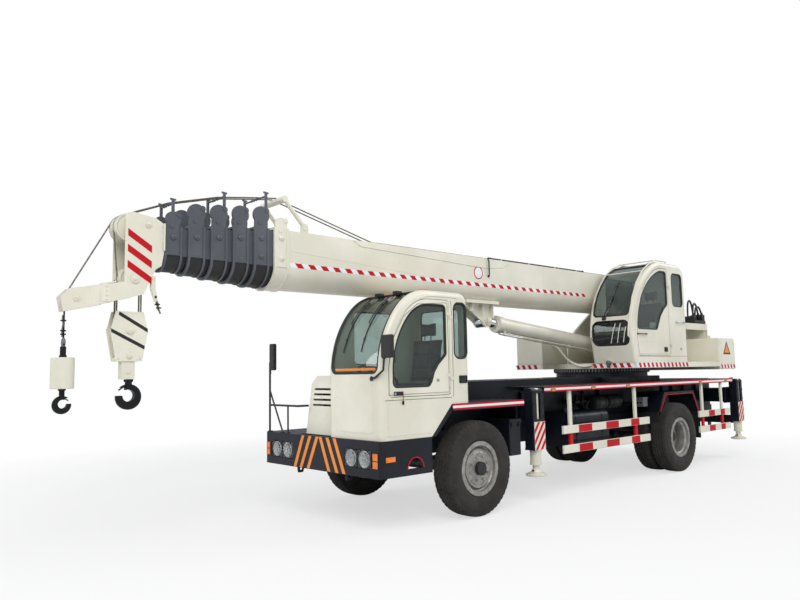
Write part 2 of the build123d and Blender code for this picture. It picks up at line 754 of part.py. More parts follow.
driver_rear_pane = pane_face(108, 300, 1697, 2290, 70)
driver_right_pane = pane_face(400, 1000, 1640, 2230, 60)
rear_pane = Pos(cab_rear, 0, 0) * extrude(
    Plane.YZ * pane_face(cab_right_y + 130, cab_left_y - 130, 1650, 2250, 60), wall, dir=(1, 0, 0))

shell = hollow(driver_face, cab_right_y, cab_left_y, wall, cab_sill - 300, cab_rounding)
shell -= screen_zone
shell -= face_prism(driver_door_face, cab_left_y - wall, cab_left_y)
shell -= face_prism(driver_rear_pane, cab_left_y - wall, cab_left_y)
shell -= face_prism(driver_right_pane, cab_right_y, cab_right_y + wall)
shell -= rear_pane
shell += hinge_pair(door_rear_x, cab_left_y + hinge_stand, driver_hinges, False)
nose_panel = Plane.YZ * pane_face(cab_right_y + 130, cab_left_y - 130, 965, 1440, 45)
shell += Pos(cab_front, 0, 0) * extrude(nose_panel, 5, dir=(1, 0, 0))
lower_panel = soften(Polygon((1262, 1268), (1262, 930), (675, 930), (410, 1268), align=None), 15)
shell += face_prism(lower_panel, cab_left_y, cab_left_y + 3)
write("driver_cab", shell)

screen = face_prism(inset(driver_face, glass_depth) - inset(driver_face, pane_back),
                    cab_right_y, cab_left_y) & screen_zone
panes = screen + face_prism(driver_rear_pane, cab_left_y - pane_back, cab_left_y - glass_depth)
panes += face_prism(driver_right_pane, cab_right_y + glass_depth, cab_right_y + pane_back)
panes += rear_pane & block(cab_rear + glass_depth, cab_rear + pane_back, 0, 1200, 1500, 2400)
write("driver_cab_glass", panes)
write("driver_door", door_leaf(driver_door_face, driver_window, cab_left_y, door_rear_x, driver_hinges))
write("driver_door_glass", face_prism(driver_window, cab_left_y - pane_back, cab_left_y - glass_depth))


def seat(x, y, cab_face, cushion_top):
    # The base stands on the cab's inner skin and follows it
    under = strip_face(x - 175, x + 175, cushion_top - 800, cushion_top - 140)
    base = face_prism(inset(cab_face, wall) & under, y - 180, y + 180)
    cushion = block(x - 240, x + 260, y - 240, y + 240, cushion_top - 140, cushion_top)
    back_points = [(x - 240, cushion_top - 1), (x - 130, cushion_top - 1), (x - 205, cushion_top + 520),
                   (x - 295, cushion_top + 520)]
    back = side_prism(back_points, y - 230, y + 230)
    rest_points = [(x - 291, cushion_top + 500), (x - 222, cushion_top + 500), (x - 240, cushion_top + 690),
                   (x - 300, cushion_top + 690)]
    rest = side_prism(rest_points, y - 120, y + 120)
    return base + fillet(cushion.edges().filter_by(Axis.Y), 35) + back + rest


cab_mid_y = (cab_right_y + cab_left_y) / 2
write("driver_seat", seat(520, cab_mid_y, driver_face, 1420))
wheel_plane = Plane(origin=(1010, cab_mid_y, 1520), z_dir=(-0.5, 0, 0.866))
wheel_rim = revolve(Plane.XZ * (Pos(215, 0) * RegularPolygon(15, 8)), axis=Axis.Z)
steering = wheel_plane * (wheel_rim + Cylinder(45, 40) + Box(420, 24, 16))
steering += rod((1020, cab_mid_y, 1503), (1190, cab_mid_y, floor_level + wall + 150), 28)
dash_points = [(1130, floor_level + wall), (cab_front - wall, floor_level + wall), (cab_front - wall, 1480),
               (1190, 1480), (1110, 1400), (1160, 1250)]
steering += side_prism(dash_points, cab_right_y + wall + dash_inset, cab_left_y - wall - dash_inset)
write("steering", steering)

hood_face = Polygon((hood_rear, floor_level), (hood_front, floor_level), (1160, 1445), (1085, hood_top),
                    (hood_rear, hood_top), align=None)
hood = rounded_prism(hood_face, hood_right_y, cab_right_y, floor_level + 1, hood_rounding)
hood_room = rounded_prism(inset(hood_face, sheet), hood_right_y + sheet, cab_right_y - sheet,
                          floor_level + sheet + 1, hood_rounding - sheet)
hood -= hood_room + block(hood_rear + sheet, hood_front - 12, hood_right_y + sheet, cab_right_y - sheet,
                          floor_level, floor_level + 20)
for z in (1200, 1258, 1316, 1374):
    hood -= block(1120, 1260, -330, 110, z, z + 22)
write("engine_hood", hood)

# Operator's cab: the front leans out to a knee, then curves back to the roof
op_edges = Polyline((-4800, op_top), (-4250, op_top))
op_edges += ThreePointArc((-4250, op_top), (-3690, 2830), op_knee)
op_edges += Polyline(op_knee, (op_front, opcab_floor), (op_rear, opcab_floor), (op_rear, 2995))
op_edges += ThreePointArc((op_rear, 2995), (-4980, 3105), (-4800, op_top))
op_face = soften(make_face(op_edges), 110, opcab_floor + wall)
op_door_face = soften(inset(op_face, 90) & strip_face(op_door_rear, -3300, 1725, 3070), 40)
op_window = soften(inset(op_door_face, 58) & Polygon(
    (-4100, 2125), (-3300, 2125), (-3300, 3200), (-4455, 3200), (-4455, 2520), (-4335, 2440),
    (-4225, 2335), (-4150, 2210), align=None), 40)
op_hinges = (1900, 2800)
op_screen_face = pane_face(opcab_right_y + pillar, opcab_left_y - pillar, 2320, 3600, 70)
op_screen_zone = Pos(-4100, 0, 0) * extrude(Plane.YZ * op_screen_face, 900, dir=(1, 0, 0))
op_low_face = pane_face(opcab_right_y + pillar, opcab_left_y - pillar, 1895, 2240, 90)
op_low_zone = Pos(-3600, 0, 0) * extrude(Plane.YZ * op_low_face, 400, dir=(1, 0, 0))
op_roof_zone = block(-4700, -4150, opcab_right_y + 120, opcab_left_y - 120, 3050, 3300)
op_rear_pane = pane_face(-4940, -4620, 2500, 3005, 70)
op_right_pane = pane_face(-4700, -3850, 2200, 2950, 60)

shell = hollow(op_face, opcab_right_y, opcab_left_y, wall, opcab_floor + wall + 1, op_rounding)
for zone in (op_screen_zone, op_low_zone, op_roof_zone):
    shell -= zone
shell -= face_prism(op_door_face, opcab_left_y - wall, opcab_left_y)
shell -= face_prism(op_rear_pane, opcab_left_y - wall, opcab_left_y)
shell -= face_prism(op_right_pane, opcab_right_y, opcab_right_y + wall)
shell += hinge_pair(op_door_rear, opcab_left_y + hinge_stand, op_hinges, False)
guard_points = [(-4560, op_top - 5), (-4560, op_top + guard_stand), (-4250, op_top + guard_stand - 4),
                (-4040, 3112), (-3840, 2993), (-3655, 2802), (-3520, 2580), (-3420, 2330),
                (-3372, 2120), (-3360, 2020), (-3410, 1990)]
for y in (opcab_right_y + guard_inset, opcab_left_y - guard_inset):
    shell += tube_path([(x, y, z) for x, z in guard_points], guard_radius)
for x, z in (guard_points[2], guard_points[4]):
    shell += rod((x, opcab_right_y + guard_inset, z), (x, opcab_left_y - guard_inset, z),
                 guard_radius * 0.8)
write("operator_cab", shell)

skin = face_prism(inset(op_face, glass_depth) - inset(op_face, pane_back), opcab_right_y, opcab_left_y)
panes = skin & op_screen_zone
panes += skin & op_low_zone
panes += skin & op_roof_zone
panes += face_prism(op_rear_pane, opcab_left_y - pane_back, opcab_left_y - glass_depth)
panes += face_prism(op_right_pane, opcab_right_y + glass_depth, opcab_right_y + pane_back)
write("operator_cab_glass", panes)
write("operator_door", door_leaf(op_door_face, op_window, opcab_left_y, op_door_rear, op_hinges))
write("operator_door_glass", face_prism(op_window, opcab_left_y - pane_back, opcab_left_y - glass_depth))
write("operator_seat", seat(-4350, (opcab_right_y + opcab_left_y) / 2, op_face, 2080))


# Slewing superstructure

outer_y = side_plate_y + side_plate
table_outline = [(table_front, -table_half_width), (table_front, -510), (-3650, -510), (-3650, outer_y + 4),
                 (op_front - 10, outer_y + 4), (op_front - 10, table_half_width),
                 (weight_front, table_half_width), (weight_front, -table_half_width)]
table = plan_prism(table_outline, table_low, table_top)
plate_points = [(-3660, table_top), (-3660, 1960), (-3900, 2170), (-4900, 2840), (-5600, 2840),
                (-5850, side_plate_top), (weight_rear + 70, side_plate_top), (weight_rear + 70, weight_top),
                (weight_front, weight_top), (weight_front, table_top)]
table += both_sides(side_prism(plate_points, side_plate_y, outer_y))
edge_points = [(-3700, 1996), (-3900, 2170), (-4900, 2840), (-5600, 2840), (-5600, 2826), (-4904, 2826),
               (-3909, 2159), (-3709, 1985)]
table += both_sides(side_prism(edge_points, side_plate_y, outer_y + 6))
for x in (-4760, -5560):
    table += block(x, x + 30, -side_plate_y, side_plate_y, table_top, 2100)
for x in (-4100, -5100):
    table += flip_y(block(x, x + 16, outer_y, outer_y + 120, table_top, 2050))
table += cross_rod(pivot_x, boom_z, -outer_y - 30, outer_y + 30, pivot_radius)
table += both_sides(cross_rod(pivot_x, boom_z, outer_y, outer_y + 7, 120))
table += cross_rod(foot_x, foot_z, -outer_y - 20, outer_y, luff_pin_radius)
table += flip_y(cross_rod(foot_x, foot_z, outer_y, outer_y + 14, 90))
table += block(weight_rear + 70, weight_rear + 110, -side_plate_y, side_plate_y, 2200, side_plate_top)
frame_y = winch_frame_y + frame_sheet
table += both_sides(block(winch_frame_front, weight_rear + 70, winch_frame_y, frame_y,
                          2200, side_plate_top))
table += both_sides(block(winch_frame_front, winch_frame_front + frame_sheet, outer_y, frame_y,
                          2200, side_plate_top))
for x in (weight_rear + 70, weight_rear + 160):
    table += both_sides(block(x, x + frame_sheet, outer_y, frame_y, weight_top, side_plate_top))
write("turntable", table)

locker = block(table_front, -4700, -table_half_width + 5, -510, table_top, 2070)
locker = chamfer(locker.edges(), 8)
for x in (-3380, -3835, -4290):
    locker += block(x, x - 400, -table_half_width + 5, -table_half_width + 1, 1690, 2020)
write("side_locker", locker)

weight = block(weight_front, weight_rear, -weight_half_width, weight_half_width, weight_low, weight_top)
weight = chamfer(weight.edges(), 14)
for y in (-700, 700):
    eye = side_prism([(-6545, weight_top - 1), (-6545, weight_top + 60), (-6455, weight_top + 60),
                      (-6455, weight_top - 1)], y - 12, y + 12)
    weight += eye - cross_rod(-6500, weight_top + 32, y - 12, y + 12, 18)
write("counterweight", weight)

winch_profile = [(-side_plate_y, 0), (-side_plate_y, 120), (-236, 120), (-236, 55), (-212, 55), (-212, 200),
                 (-200, 200), (-200, 130), (200, 130), (200, 200), (212, 200), (212, 90),
                 (side_plate_y, 90), (side_plate_y, 0)]
winches = Part()
for x in (-5950, -5250):
    drum = revolve(Plane.XY * Polygon(*[(r, y) for y, r in winch_profile], align=None), axis=Axis.Y)
    winches += Pos(x, 0, 1940) * drum
write("winches", winches)

# Oil swivel and the looped hoses behind the boom's foot
swivel = block(-6280, -6700, 200, frame_y, side_plate_top, 2370)
swivel += cross_rod(-6340, 2410, 330, 560, 42) + block(-6385, -6295, 330, 560, 2370, 2412)
for x, y, reach, rise in ((-6430, 380, 210, 400), (-6480, 450, 200, 340), (-6400, 525, 260, 270)):
    swivel += tube_path([(x, y, 2360), (x, y, 2360 + rise * 0.7), (x - reach * 0.35, y, 2360 + rise),
                         (x - reach * 0.8, y, 2360 + rise * 0.85), (x - reach, y, 2360)], 16)
swivel += block(-6600, -6700, 340, 560, 2360, 2480)
swivel += block(weight_rear + 110, weight_rear + 400, -side_plate_y, side_plate_y,
                side_plate_top - 20, side_plate_top)
write("hydraulic_lines", swivel)


# Boom: every section is the same form with its own half width, half height and front

def boom_face(half_width, half_height):
    crease = -crease_share * half_height
    edges = Polyline((-half_width, crease), (-half_width, half_height), (half_width, half_height),
                     (half_width, crease))
    edges += ThreePointArc((half_width, crease), (0, -half_height), (-half_width, crease))
    return make_face(edges)


def boom_run(half_width, half_height, x0, x1):
    face = Plane.YZ * boom_face(half_width, half_height)
    return Pos(x0, 0, boom_z) * extrude(face, x1 - x0, dir=(1, 0, 0))


def section_size(n):
    return base_half_width - n * section_step_y, base_half_height - n * section_step_z


def boom_ear(n, front, half_width, half_height):
    # The rounded lug on a collar's top corner, with a rope guide on every other one
    radius, rise = low_ear if n == 0 else last_ear if n == section_count else high_ear
    ear_x = front - collar_length / 2
    ear_z = boom_z + half_height + rise
    inner = half_width - 16
    outer = half_width + collar_rise
    ear = cross_rod(ear_x, ear_z, inner, outer, radius)
    ear += block(ear_x - radius * 0.8, ear_x + radius * 0.8, inner, outer, boom_z + half_height - 60, ear_z)
    lobe_x = ear_x - radius * 0.66
    lobe_z = ear_z + radius * 0.56
    ear += cross_rod(lobe_x, lobe_z, inner, outer, 30)
    for x, z in ((lobe_x, lobe_z), (ear_x + radius * 0.2, ear_z - radius * 0.9)):
        ear += cross_rod(x, z, outer, outer + 7, 17)
    if n in guide_tops:
        top = guide_tops[n]
        stem = lobe_x if n < section_count else ear_x
        guide = [(stem - 13, ear_z), (stem + 13, ear_z), (stem + 13, top - 18), (stem + 27, top - 14),
                 (stem + 27, top), (stem - 27, top - 6), (stem - 27, top - 20), (stem - 13, top - 20)]
        ear += side_prism(guide, inner, inner + 16)
    return both_sides(ear)


def boom_section(n):
    half_width, half_height = section_size(n)
    front = base_front + n * section_pitch
    rear = base_cavity_rear + 40 + 30 * n if n else boom_rear
    cavity = rear - 10 if n else base_cavity_rear
    shape = boom_run(half_width, half_height, rear, front)
    shape += boom_run(half_width + collar_rise, half_height + collar_rise, front - collar_length, front)
    for end in (front, front - collar_length + rib_length):
        shape += boom_run(half_width + rib_rise, half_height + rib_rise, end - rib_length, end)
    crease = boom_z - crease_share * half_height
    shape += both_sides(block(front - collar_length, front, half_width, half_width + rib_rise,
                              crease, crease + 12))
    bolt_rises = [pad_bolt_rise - n * section_step_y, 0]
    for rise in bolt_rises if n < 2 else bolt_rises[:1]:
        shape += both_sides(cross_rod(front - collar_length / 2, boom_z + rise, half_width,
                                      half_width + rib_rise, 24))
    shape += boom_ear(n, front, half_width, half_height)
    room_front = front + 10 if n < section_count else front - 40
    shape -= boom_run(half_width - tube_wall, half_height - tube_wall, cavity, room_front)
    if n < section_count:
        next_width, next_height = section_size(n + 1)
        pad = block(front - 150, front - 10, next_width + run_gap, half_width - tube_wall + 1,
                    boom_z - 50, boom_z + 120)
        low_pad = block(front - 150, front - 10, -60, 60, boom_z - half_height + 4,
                        boom_z - half_height + section_step_z + 6)
        low_pad -= boom_run(next_width + run_gap, next_height + run_gap, front - 160, front)
        shape += both_sides(pad) + low_pad
    return shape


base = boom_section(0)
base -= cross_rod(pivot_x, boom_z, -300, 300, pivot_radius + run_gap)
base += both_sides(cross_rod(pivot_x, boom_z, base_half_width, side_plate_y - 5, 130) - cross_rod(
    pivot_x, boom_z, 200, 300, pivot_radius + run_gap))
link = rod((link_foot[0], 205, link_foot[1]), (link_top[0], 205, link_top[1]), 22)
link += cross_rod(link_foot[0], link_foot[1], 185, 225, 36)
base += both_sides(link + block(link_foot[0] - 40, link_foot[0] + 40, 190, 220, 3000, link_foot[1]))
base += cross_rod(link_top[0], link_top[1], -225, 225, 34)
lug_points = [(-820, 2450), (-1270, eye_z - 40), (-1390, eye_z - 40), (-1450, 2300), (-1450, 2450)]
lug_y = eye_half_width + 6
lug = side_prism(lug_points, lug_y, lug_y + 24) + cross_rod(eye_x, eye_z, lug_y, lug_y + 24, 86)
lug += cross_rod(eye_x, eye_z, lug_y + 24, lug_y + 46, 52)
for x, low in ((-1000, 2330), (-1200, 2290), (-1400, 2250)):
    lug += block(x, x + 14, lug_y + 24, lug_y + 80, low, 2445)
base += both_sides(lug)
base += block(-820, -1450, -200, 200, 2430, 2470)
base -= boom_run(base_half_width - tube_wall, base_half_height - tube_wall, base_cavity_rear, 1800)
write("boom_base", base)
for n in range(1, section_count + 1):
    write(f"boom_section_{n + 1}", boom_section(n))


def sheave(x, z, y, half_width, radius):
    # A rope wheel with a grooved rim, a thin web and a raised hub
    bed = radius - groove_depth
    web = half_width * 0.5
    hub = half_width + 4
    profile = [(0, -hub), (radius * 0.32, -hub), (radius * 0.36, -web), (radius * 0.8, -web),
               (bed, -half_width), (radius, -half_width), (radius, -groove_half_width),
               (bed, -groove_half_width), (bed, groove_half_width), (radius, groove_half_width),
               (radius, half_width), (bed, half_width), (radius * 0.8, web), (radius * 0.36, web),
               (radius * 0.32, hub), (0, hub)]
    return Pos(x, y, z) * revolve(Plane.XY * Polygon(*profile, align=None), axis=Axis.Y)


# Boom head: two side plates with the nose, joined by plates, pins and sheaves
head_rear = base_front + section_count * section_pitch
head_points = [(head_rear, 2935), (3230, 2985), (3440, 3015), (3500, 2990), (3500, 2389), (3700, 2339),
               (3700, 2180), (3330, 2283), (3225, 2515), (3172, 2550), (head_rear, 2680)]
plate_inner = head_plate_y - head_plate
head = side_prism(head_points, plate_inner, head_plate_y)
nose_points = [(3600, 2362), (3745, 2345), (3924, 2310), (3992, 2238), (3968, 2113), (3600, 2202)]
nose_plan = [(3600, plate_inner), (3692, plate_inner), (3762, nose_half_width), (4000, nose_half_width),
             (4000, nose_half_width - 14), (3756, nose_half_width - 14), (3684, plate_inner - 14),
             (3600, plate_inner - 14)]
head += side_prism(nose_points, 0, plate_inner) & plan_prism(nose_plan, 2000, 2500)
head += block(head_rear, head_rear + 14, plate_inner, head_plate_y + 22, 2690, 2940)
for x, z, r in ((head_sheave_x, head_sheave_z, 40), (3300, 2920, 30)):
    head += cross_rod(x, z, head_plate_y, head_plate_y + 12, r)
head += block(3612, 3688, head_plate_y, head_plate_y + 5, 2205, 2358)
head = both_sides(head)
head += cross_rod(nose_sheave_x, nose_sheave_z, -nose_half_width - 8, nose_half_width + 8, 30)
brow_plate = [(head_rear, 2905), (3230, 2957), (3330, 2970), (3330, 2982), (3230, 2969),
              (head_rear, 2917)]
nose_plate = [(3566, 2378), (3690, 2347), (3690, 2359), (3566, 2390)]
for outline in (brow_plate, nose_plate):
    head += side_prism(outline, -plate_inner, plate_inner)
head += cross_rod(head_sheave_x, head_sheave_z, -plate_inner, plate_inner, 30)
head += cross_rod(top_sheave_x, top_sheave_z, -plate_inner, plate_inner, 30)
for y in (-70, -rope_y, rope_y, 70):
    head += sheave(head_sheave_x, head_sheave_z, y, 15, head_sheave_radius)
    head += sheave(top_sheave_x, top_sheave_z, y, 15, top_sheave_radius)
head += sheave(nose_sheave_x, nose_sheave_z, 0, 18, nose_sheave_radius)
write("boom_head", head)


# Luffing cylinder, drawn along its own axis from foot to eye

luff_run = Vector(eye_x - foot_x, 0, eye_z - foot_z)
luff_length = luff_run.length
luff_unit = luff_run.normalized()


def luff_point(distance):
    return (foot_x + luff_unit.X * distance, 0, foot_z + luff_unit.Z * distance)


barrel_end = luff_length - 270
barrel = rod(luff_point(90), luff_point(barrel_end), barrel_radius)
barrel += rod(luff_point(barrel_end - 90), luff_point(barrel_end), barrel_radius + 12)
barrel += rod(luff_point(60), luff_point(130), barrel_radius + 8)
barrel -= rod(luff_point(200), luff_point(barrel_end - 60), barrel_radius - 18)
barrel -= rod(luff_point(200), luff_point(barrel_end + 1), rod_radius + run_gap)
barrel += cross_rod(foot_x, foot_z, -85, 85, 100)
barrel -= cross_rod(foot_x, foot_z, -90, 90, luff_pin_radius + run_gap)
write("luff_barrel", barrel)
piston = rod(luff_point(230), luff_point(300), barrel_radius - 18 - run_gap)
piston += rod(luff_point(290), luff_point(luff_length - 40), rod_radius)
piston += cross_rod(eye_x, eye_z, -eye_half_width, eye_half_width, 82)
write("luff_rod", piston)


# Main hook block and auxiliary hook, hanging from their sheaves

def hook(centre_x, centre_z, radius, side, stem_top, stem_radius):
    # A round-edged ring, thick at its back and cut open towards the tip; side is the way the mouth faces
    ring = Circle(radius) - Pos(side * radius * 0.05, radius * 0.10) * Circle(radius * 0.48)
    mouth = Pos(side * radius * 0.62, radius * 0.42) * Rectangle(radius * 0.75, radius * 0.62)
    half = radius * 0.26
    shape = face_prism(Pos(centre_x, centre_z) * (ring - mouth), -half, half)
    rim = [e for e in shape.edges().filter_by(GeomType.CIRCLE) if e.radius > radius * 0.9]
    shape = chamfer(rim, half * 0.5)
    return shape + rod((centre_x, 0, centre_z + radius * 0.7), (centre_x, 0, stem_top), stem_radius)


fall_x = head_sheave_radius + rope_line
cheek_points = [(-123, block_top), (123, block_top), (164, 1960), (115, block_low), (-115, block_low),
                (-164, 1960)]
cheek_points = [(head_sheave_x + a, z) for a, z in cheek_points]
cheek = side_prism(cheek_points, cheek_y, cheek_y + 12)
cheek += cross_rod(head_sheave_x, 1975, cheek_y + 12, cheek_y + 27, 36)
cheek += cross_rod(head_sheave_x, block_low + 50, cheek_y + 12, cheek_y + 24, 26)
hook_block = both_sides(cheek)
hook_block += block(head_sheave_x - 110, head_sheave_x + 110, -cheek_y, cheek_y, block_low, block_low + 30)
hook_block += cross_rod(head_sheave_x, 1975, -cheek_y, cheek_y, 32)
for y in (-rope_y, rope_y):
    hook_block += sheave(head_sheave_x, 1975, y, 13, head_sheave_radius)
    for side in (1, -1):
        hook_block += rod((head_sheave_x + side * fall_x, y, 1975),
                          (head_sheave_x + side * fall_x, y, head_sheave_z), rope_radius)
        hook_block += block(head_sheave_x + side * 90, head_sheave_x + side * (fall_x + 9), y - 12, y + 12,
                            1960, 1990)
hook_block += block(head_sheave_x - 57, head_sheave_x + 57, -45, 45, 1540, block_low)
hook_block += hook(head_sheave_x - 20, 1385, 112, 1, 1545, 30)
write("hook_block", hook_block)

ball = Pos(ball_x, 0, ball_low) * Cylinder(ball_radius, ball_top - ball_low, align=(
    Align.CENTER, Align.CENTER, Align.MIN))
aux = chamfer(ball.edges().filter_by(GeomType.CIRCLE), 6)
aux += rod((ball_x, 0, ball_top), (ball_x, 0, ball_top + 90), 24)
aux += rod((ball_x, 0, ball_top + 80), (ball_x, 0, nose_sheave_z), rope_radius)
aux += hook(ball_x, 1338, 75, -1, ball_low + 5, 22)
write("aux_hook", aux)
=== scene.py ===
import bpy
import bmesh
import math
from mathutils import Matrix, Vector


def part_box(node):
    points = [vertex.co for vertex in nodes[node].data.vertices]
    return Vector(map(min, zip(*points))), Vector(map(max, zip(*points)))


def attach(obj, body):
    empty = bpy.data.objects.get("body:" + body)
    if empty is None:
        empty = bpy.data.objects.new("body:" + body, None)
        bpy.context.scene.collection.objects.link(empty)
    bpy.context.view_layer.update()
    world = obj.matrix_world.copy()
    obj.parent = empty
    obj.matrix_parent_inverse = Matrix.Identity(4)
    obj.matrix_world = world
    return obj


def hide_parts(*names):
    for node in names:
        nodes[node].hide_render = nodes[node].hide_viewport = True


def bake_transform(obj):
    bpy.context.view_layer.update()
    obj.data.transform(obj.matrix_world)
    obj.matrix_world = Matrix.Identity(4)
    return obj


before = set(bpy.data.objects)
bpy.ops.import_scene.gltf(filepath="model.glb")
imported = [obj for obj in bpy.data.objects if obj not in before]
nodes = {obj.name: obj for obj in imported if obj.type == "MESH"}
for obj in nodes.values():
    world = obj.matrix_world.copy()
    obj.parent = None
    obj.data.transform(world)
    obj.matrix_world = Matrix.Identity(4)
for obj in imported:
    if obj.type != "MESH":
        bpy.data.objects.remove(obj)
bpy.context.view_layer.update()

midX = -1457.5    # the drawing's x of the frame's origin; all places below are the drawing's millimetres
sides = ((1, "left"), (-1, "right"))
legY = 970
legs = [(f"{row}_{tag}", side, middle - side * 76)    # each outrigger's name, side and the x of its shaft
        for row, middle in (("front", -1040.0), ("rear", -6740.0)) for side, tag in sides]
wheelBase = 4490.0
forward, leftward, upward = (1, 0, 0), (0, 1, 0), (0, 0, 1)
backward, rightward, downward = (-1, 0, 0), (0, -1, 0), (0, 0, -1)
print("frame loaded:", len(nodes), "nodes")


def at(x, y, z):
    return Vector(((x - midX) / 1000, y / 1000, z / 1000))


# Camera, matched to the photograph
cameraSetup = {
    "place": (7.2249, 6.2452, 1.5607),
    "turn": math.radians(-131.99),    # heading of the line of sight
    "rise": math.radians(5.848),
    "roll": math.radians(-1.056),
    "lens": 31.55,
}


def makeCamera(s):
    camera = bpy.data.cameras.new("camera")
    camera.lens = s["lens"]
    camera.sensor_width = 36
    level = math.cos(s["rise"])
    ahead = Vector((level * math.cos(s["turn"]), level * math.sin(s["turn"]), math.sin(s["rise"])))
    right = ahead.cross(Vector(upward)).normalized()
    up = right.cross(ahead)
    sideways = right * math.cos(s["roll"]) + up * math.sin(s["roll"])
    upwards = up * math.cos(s["roll"]) - right * math.sin(s["roll"])
    obj = bpy.data.objects.new("camera", camera)
    obj.matrix_world = Matrix((sideways, upwards, -ahead)).transposed().to_4x4()
    obj.matrix_world.translation = Vector(s["place"])
    bpy.context.scene.collection.objects.link(obj)
    bpy.context.scene.camera = obj


makeCamera(cameraSetup)
print("camera placed")


# Colours and shader nodes
def linearColour(hexText):
    values = [int(hexText[i:i + 2], 16) / 255 for i in (1, 3, 5)]
    return (*(v / 12.92 if v <= 0.04045 else ((v + 0.055) / 1.055) ** 2.4 for v in values), 1.0)


def addNode(tree, kind, settings=None, values=None, links=None, feeds=None):
    # settings are the node's own fields, values its sockets, feeds the socket it drives, and links are
    # socket -> (node, output), or a sum (operation, first, second) of numbers, such pairs and further sums
    node = tree.nodes.new(kind)
    for key, value in (settings or {}).items():
        setattr(node, key, value)
    for key, value in (values or {}).items():
        node.inputs[key].default_value = value
    for key, source in (links or {}).items():
        if isinstance(source, (int, float)):
            node.inputs[key].default_value = source
            continue
        if isinstance(source[0], str):
            operation, *terms = source
            source = (addNode(tree, "ShaderNodeMath", {"operation": operation}, None, dict(enumerate(terms))), 0)
        tree.links.new(source[0].outputs[source[1]], node.inputs[key])
    if feeds is not None:
        tree.links.new(node.outputs[0], feeds)
    return node


def addLayers(tree, shader, layers):
    # A layer: the socket it drives, its noise's scale per metre, detail and roughness, and its two ends
    place = addNode(tree, "ShaderNodeTexCoord")
    for socket, scale, detail, rough, first, last, *stops in layers:
        noise = addNode(tree, "ShaderNodeTexNoise", None, {"Scale": scale, "Detail": detail, "Roughness": rough},
                        {"Vector": (place, "Object")})
        end = shader.inputs[socket]
        if socket == "Base Color":
            ramp = addNode(tree, "ShaderNodeValToRGB", None, None, {"Fac": (noise, "Fac")}, end)
            for element, colour, stop in zip(ramp.color_ramp.elements, (first, last), stops or (0.35, 0.65)):
                element.position = stop
                element.color = linearColour(colour)
        elif socket == "Roughness":
            addNode(tree, "ShaderNodeMapRange", None,
                    {"From Min": 0.3, "From Max": 0.7, "To Min": first, "To Max": last}, {"Value": (noise, "Fac")}, end)
        else:
            addNode(tree, "ShaderNodeBump", None, {"Strength": first, "Distance": last}, {"Height": (noise, "Fac")},
                    end)


paint = {}


def makeFinish(name, colour, roughness, metallic=0.0, inputs=None, layers=()):
    material = bpy.data.materials.new(name)
    material.use_nodes = True
    tree = material.node_tree
    shader = tree.nodes["Principled BSDF"]
    values = {"Base Color": linearColour(colour), "Roughness": roughness, "Metallic": metallic, **(inputs or {})}
    for key, value in values.items():
        shader.inputs[key].default_value = value
    addLayers(tree, shader, layers)
    paint[name] = material
    return tree, shader


# Sprayed two-pack enamel on plate and printed sheet film: broad faint clouds, orange peel of 4 mm drops.
# Two colours, roughness, peel, clear coat, shine
enamels = {
    "ivoryEnamel": ("#d6d3c2", "#e2dfd0", 0.34, 0.12, 0.25, 0.5),     # warm white cab and boom paint
    "greyEnamel": ("#4d5157", "#5a5e64", 0.42, 0.12, 0.1, 0.4),       # slate boom sections
    "navyEnamel": ("#0a0e17", "#111723", 0.42, 0.1, 0.06, 0.3),       # blue-black carrier
    "dullBlackPaint": ("#17181a", "#232426", 0.6, 0.12, 0.25, 0.5),   # axles and engine, a dull black
    "greyPrimer": ("#5d6064", "#6d7075", 0.55, 0.12, 0.25, 0.5),      # mid grey small parts, half matt
    "signalOrangeFilm": ("#e0801c", "#e88a22", 0.4, 0.05, 0.25, 0.5),    # bumper bars, smooth reflective sheet
    "signalRedFilm": ("#b40d1a", "#c0141f", 0.5, 0.05, 0.0, 0.2),     # deep red bands without gloss
    "whiteFilm": ("#dfe3e6", "#e8ebed", 0.36, 0.05, 0.25, 0.5),       # cool white beside the warm ivory
    "blackFilm": ("#101010", "#18181a", 0.42, 0.05, 0.25, 0.5),       # near black plates and bars
}
for name, (first, last, rough, peel, coat, shine) in enamels.items():
    makeFinish(name, first, rough, 0.0, {"IOR": 1.5, "Coat Weight": coat, "Coat Roughness": 0.08,
                                         "Specular IOR Level": shine},
               [("Base Color", 1.6, 6.0, 0.55, first, last, 0.40, 0.66),
                ("Roughness", 9.0, 8.0, 0.65, rough * 0.8, rough * 1.35), ("Normal", 260.0, 2.0, 0.5, peel, 0.0004)])

# Mirrors, lamp plastics and trim, smooth with handling marks about 3 cm across.
# Two colours, roughness, metallic, clear coat
glossies = {
    "mirrorCoating": ("#e2e4e6", "#eceeef", 0.06, 1.0, 0.0),    # vapour-coated lamp bowl
    "amberLens": ("#dc7018", "#e67e22", 0.12, 0.0, 0.6),        # moulded acrylic
    "rubyLens": ("#9a1018", "#ab161e", 0.12, 0.0, 0.6),         # tail lamps, dark red acrylic
    "mirrorGlass": ("#c6cbd0", "#d0d4d8", 0.03, 1.0, 0.0),      # silvered glass
    "aluminiumTrim": ("#b2b5b9", "#c2c5c8", 0.28, 1.0, 0.0),    # brushed, soft sheen
}
for name, (first, last, rough, metallic, coat) in glossies.items():
    makeFinish(name, first, rough, metallic, {"Coat Weight": coat},
               [("Base Color", 30.0, 3.0, 0.5, first, last), ("Roughness", 30.0, 3.0, 0.5, rough * 0.8, rough * 1.4)])

# Natural rubber: matt black with paler patches of dust
makeFinish("tyreRubber", "#1d1c1b", 0.86, 0.0, {"IOR": 1.52},
           [("Base Color", 7.0, 8.0, 0.7, "#1a1918", "#35312d", 0.38, 0.75), ("Normal", 180.0, 4.0, 0.6, 0.25, 0.0006)])
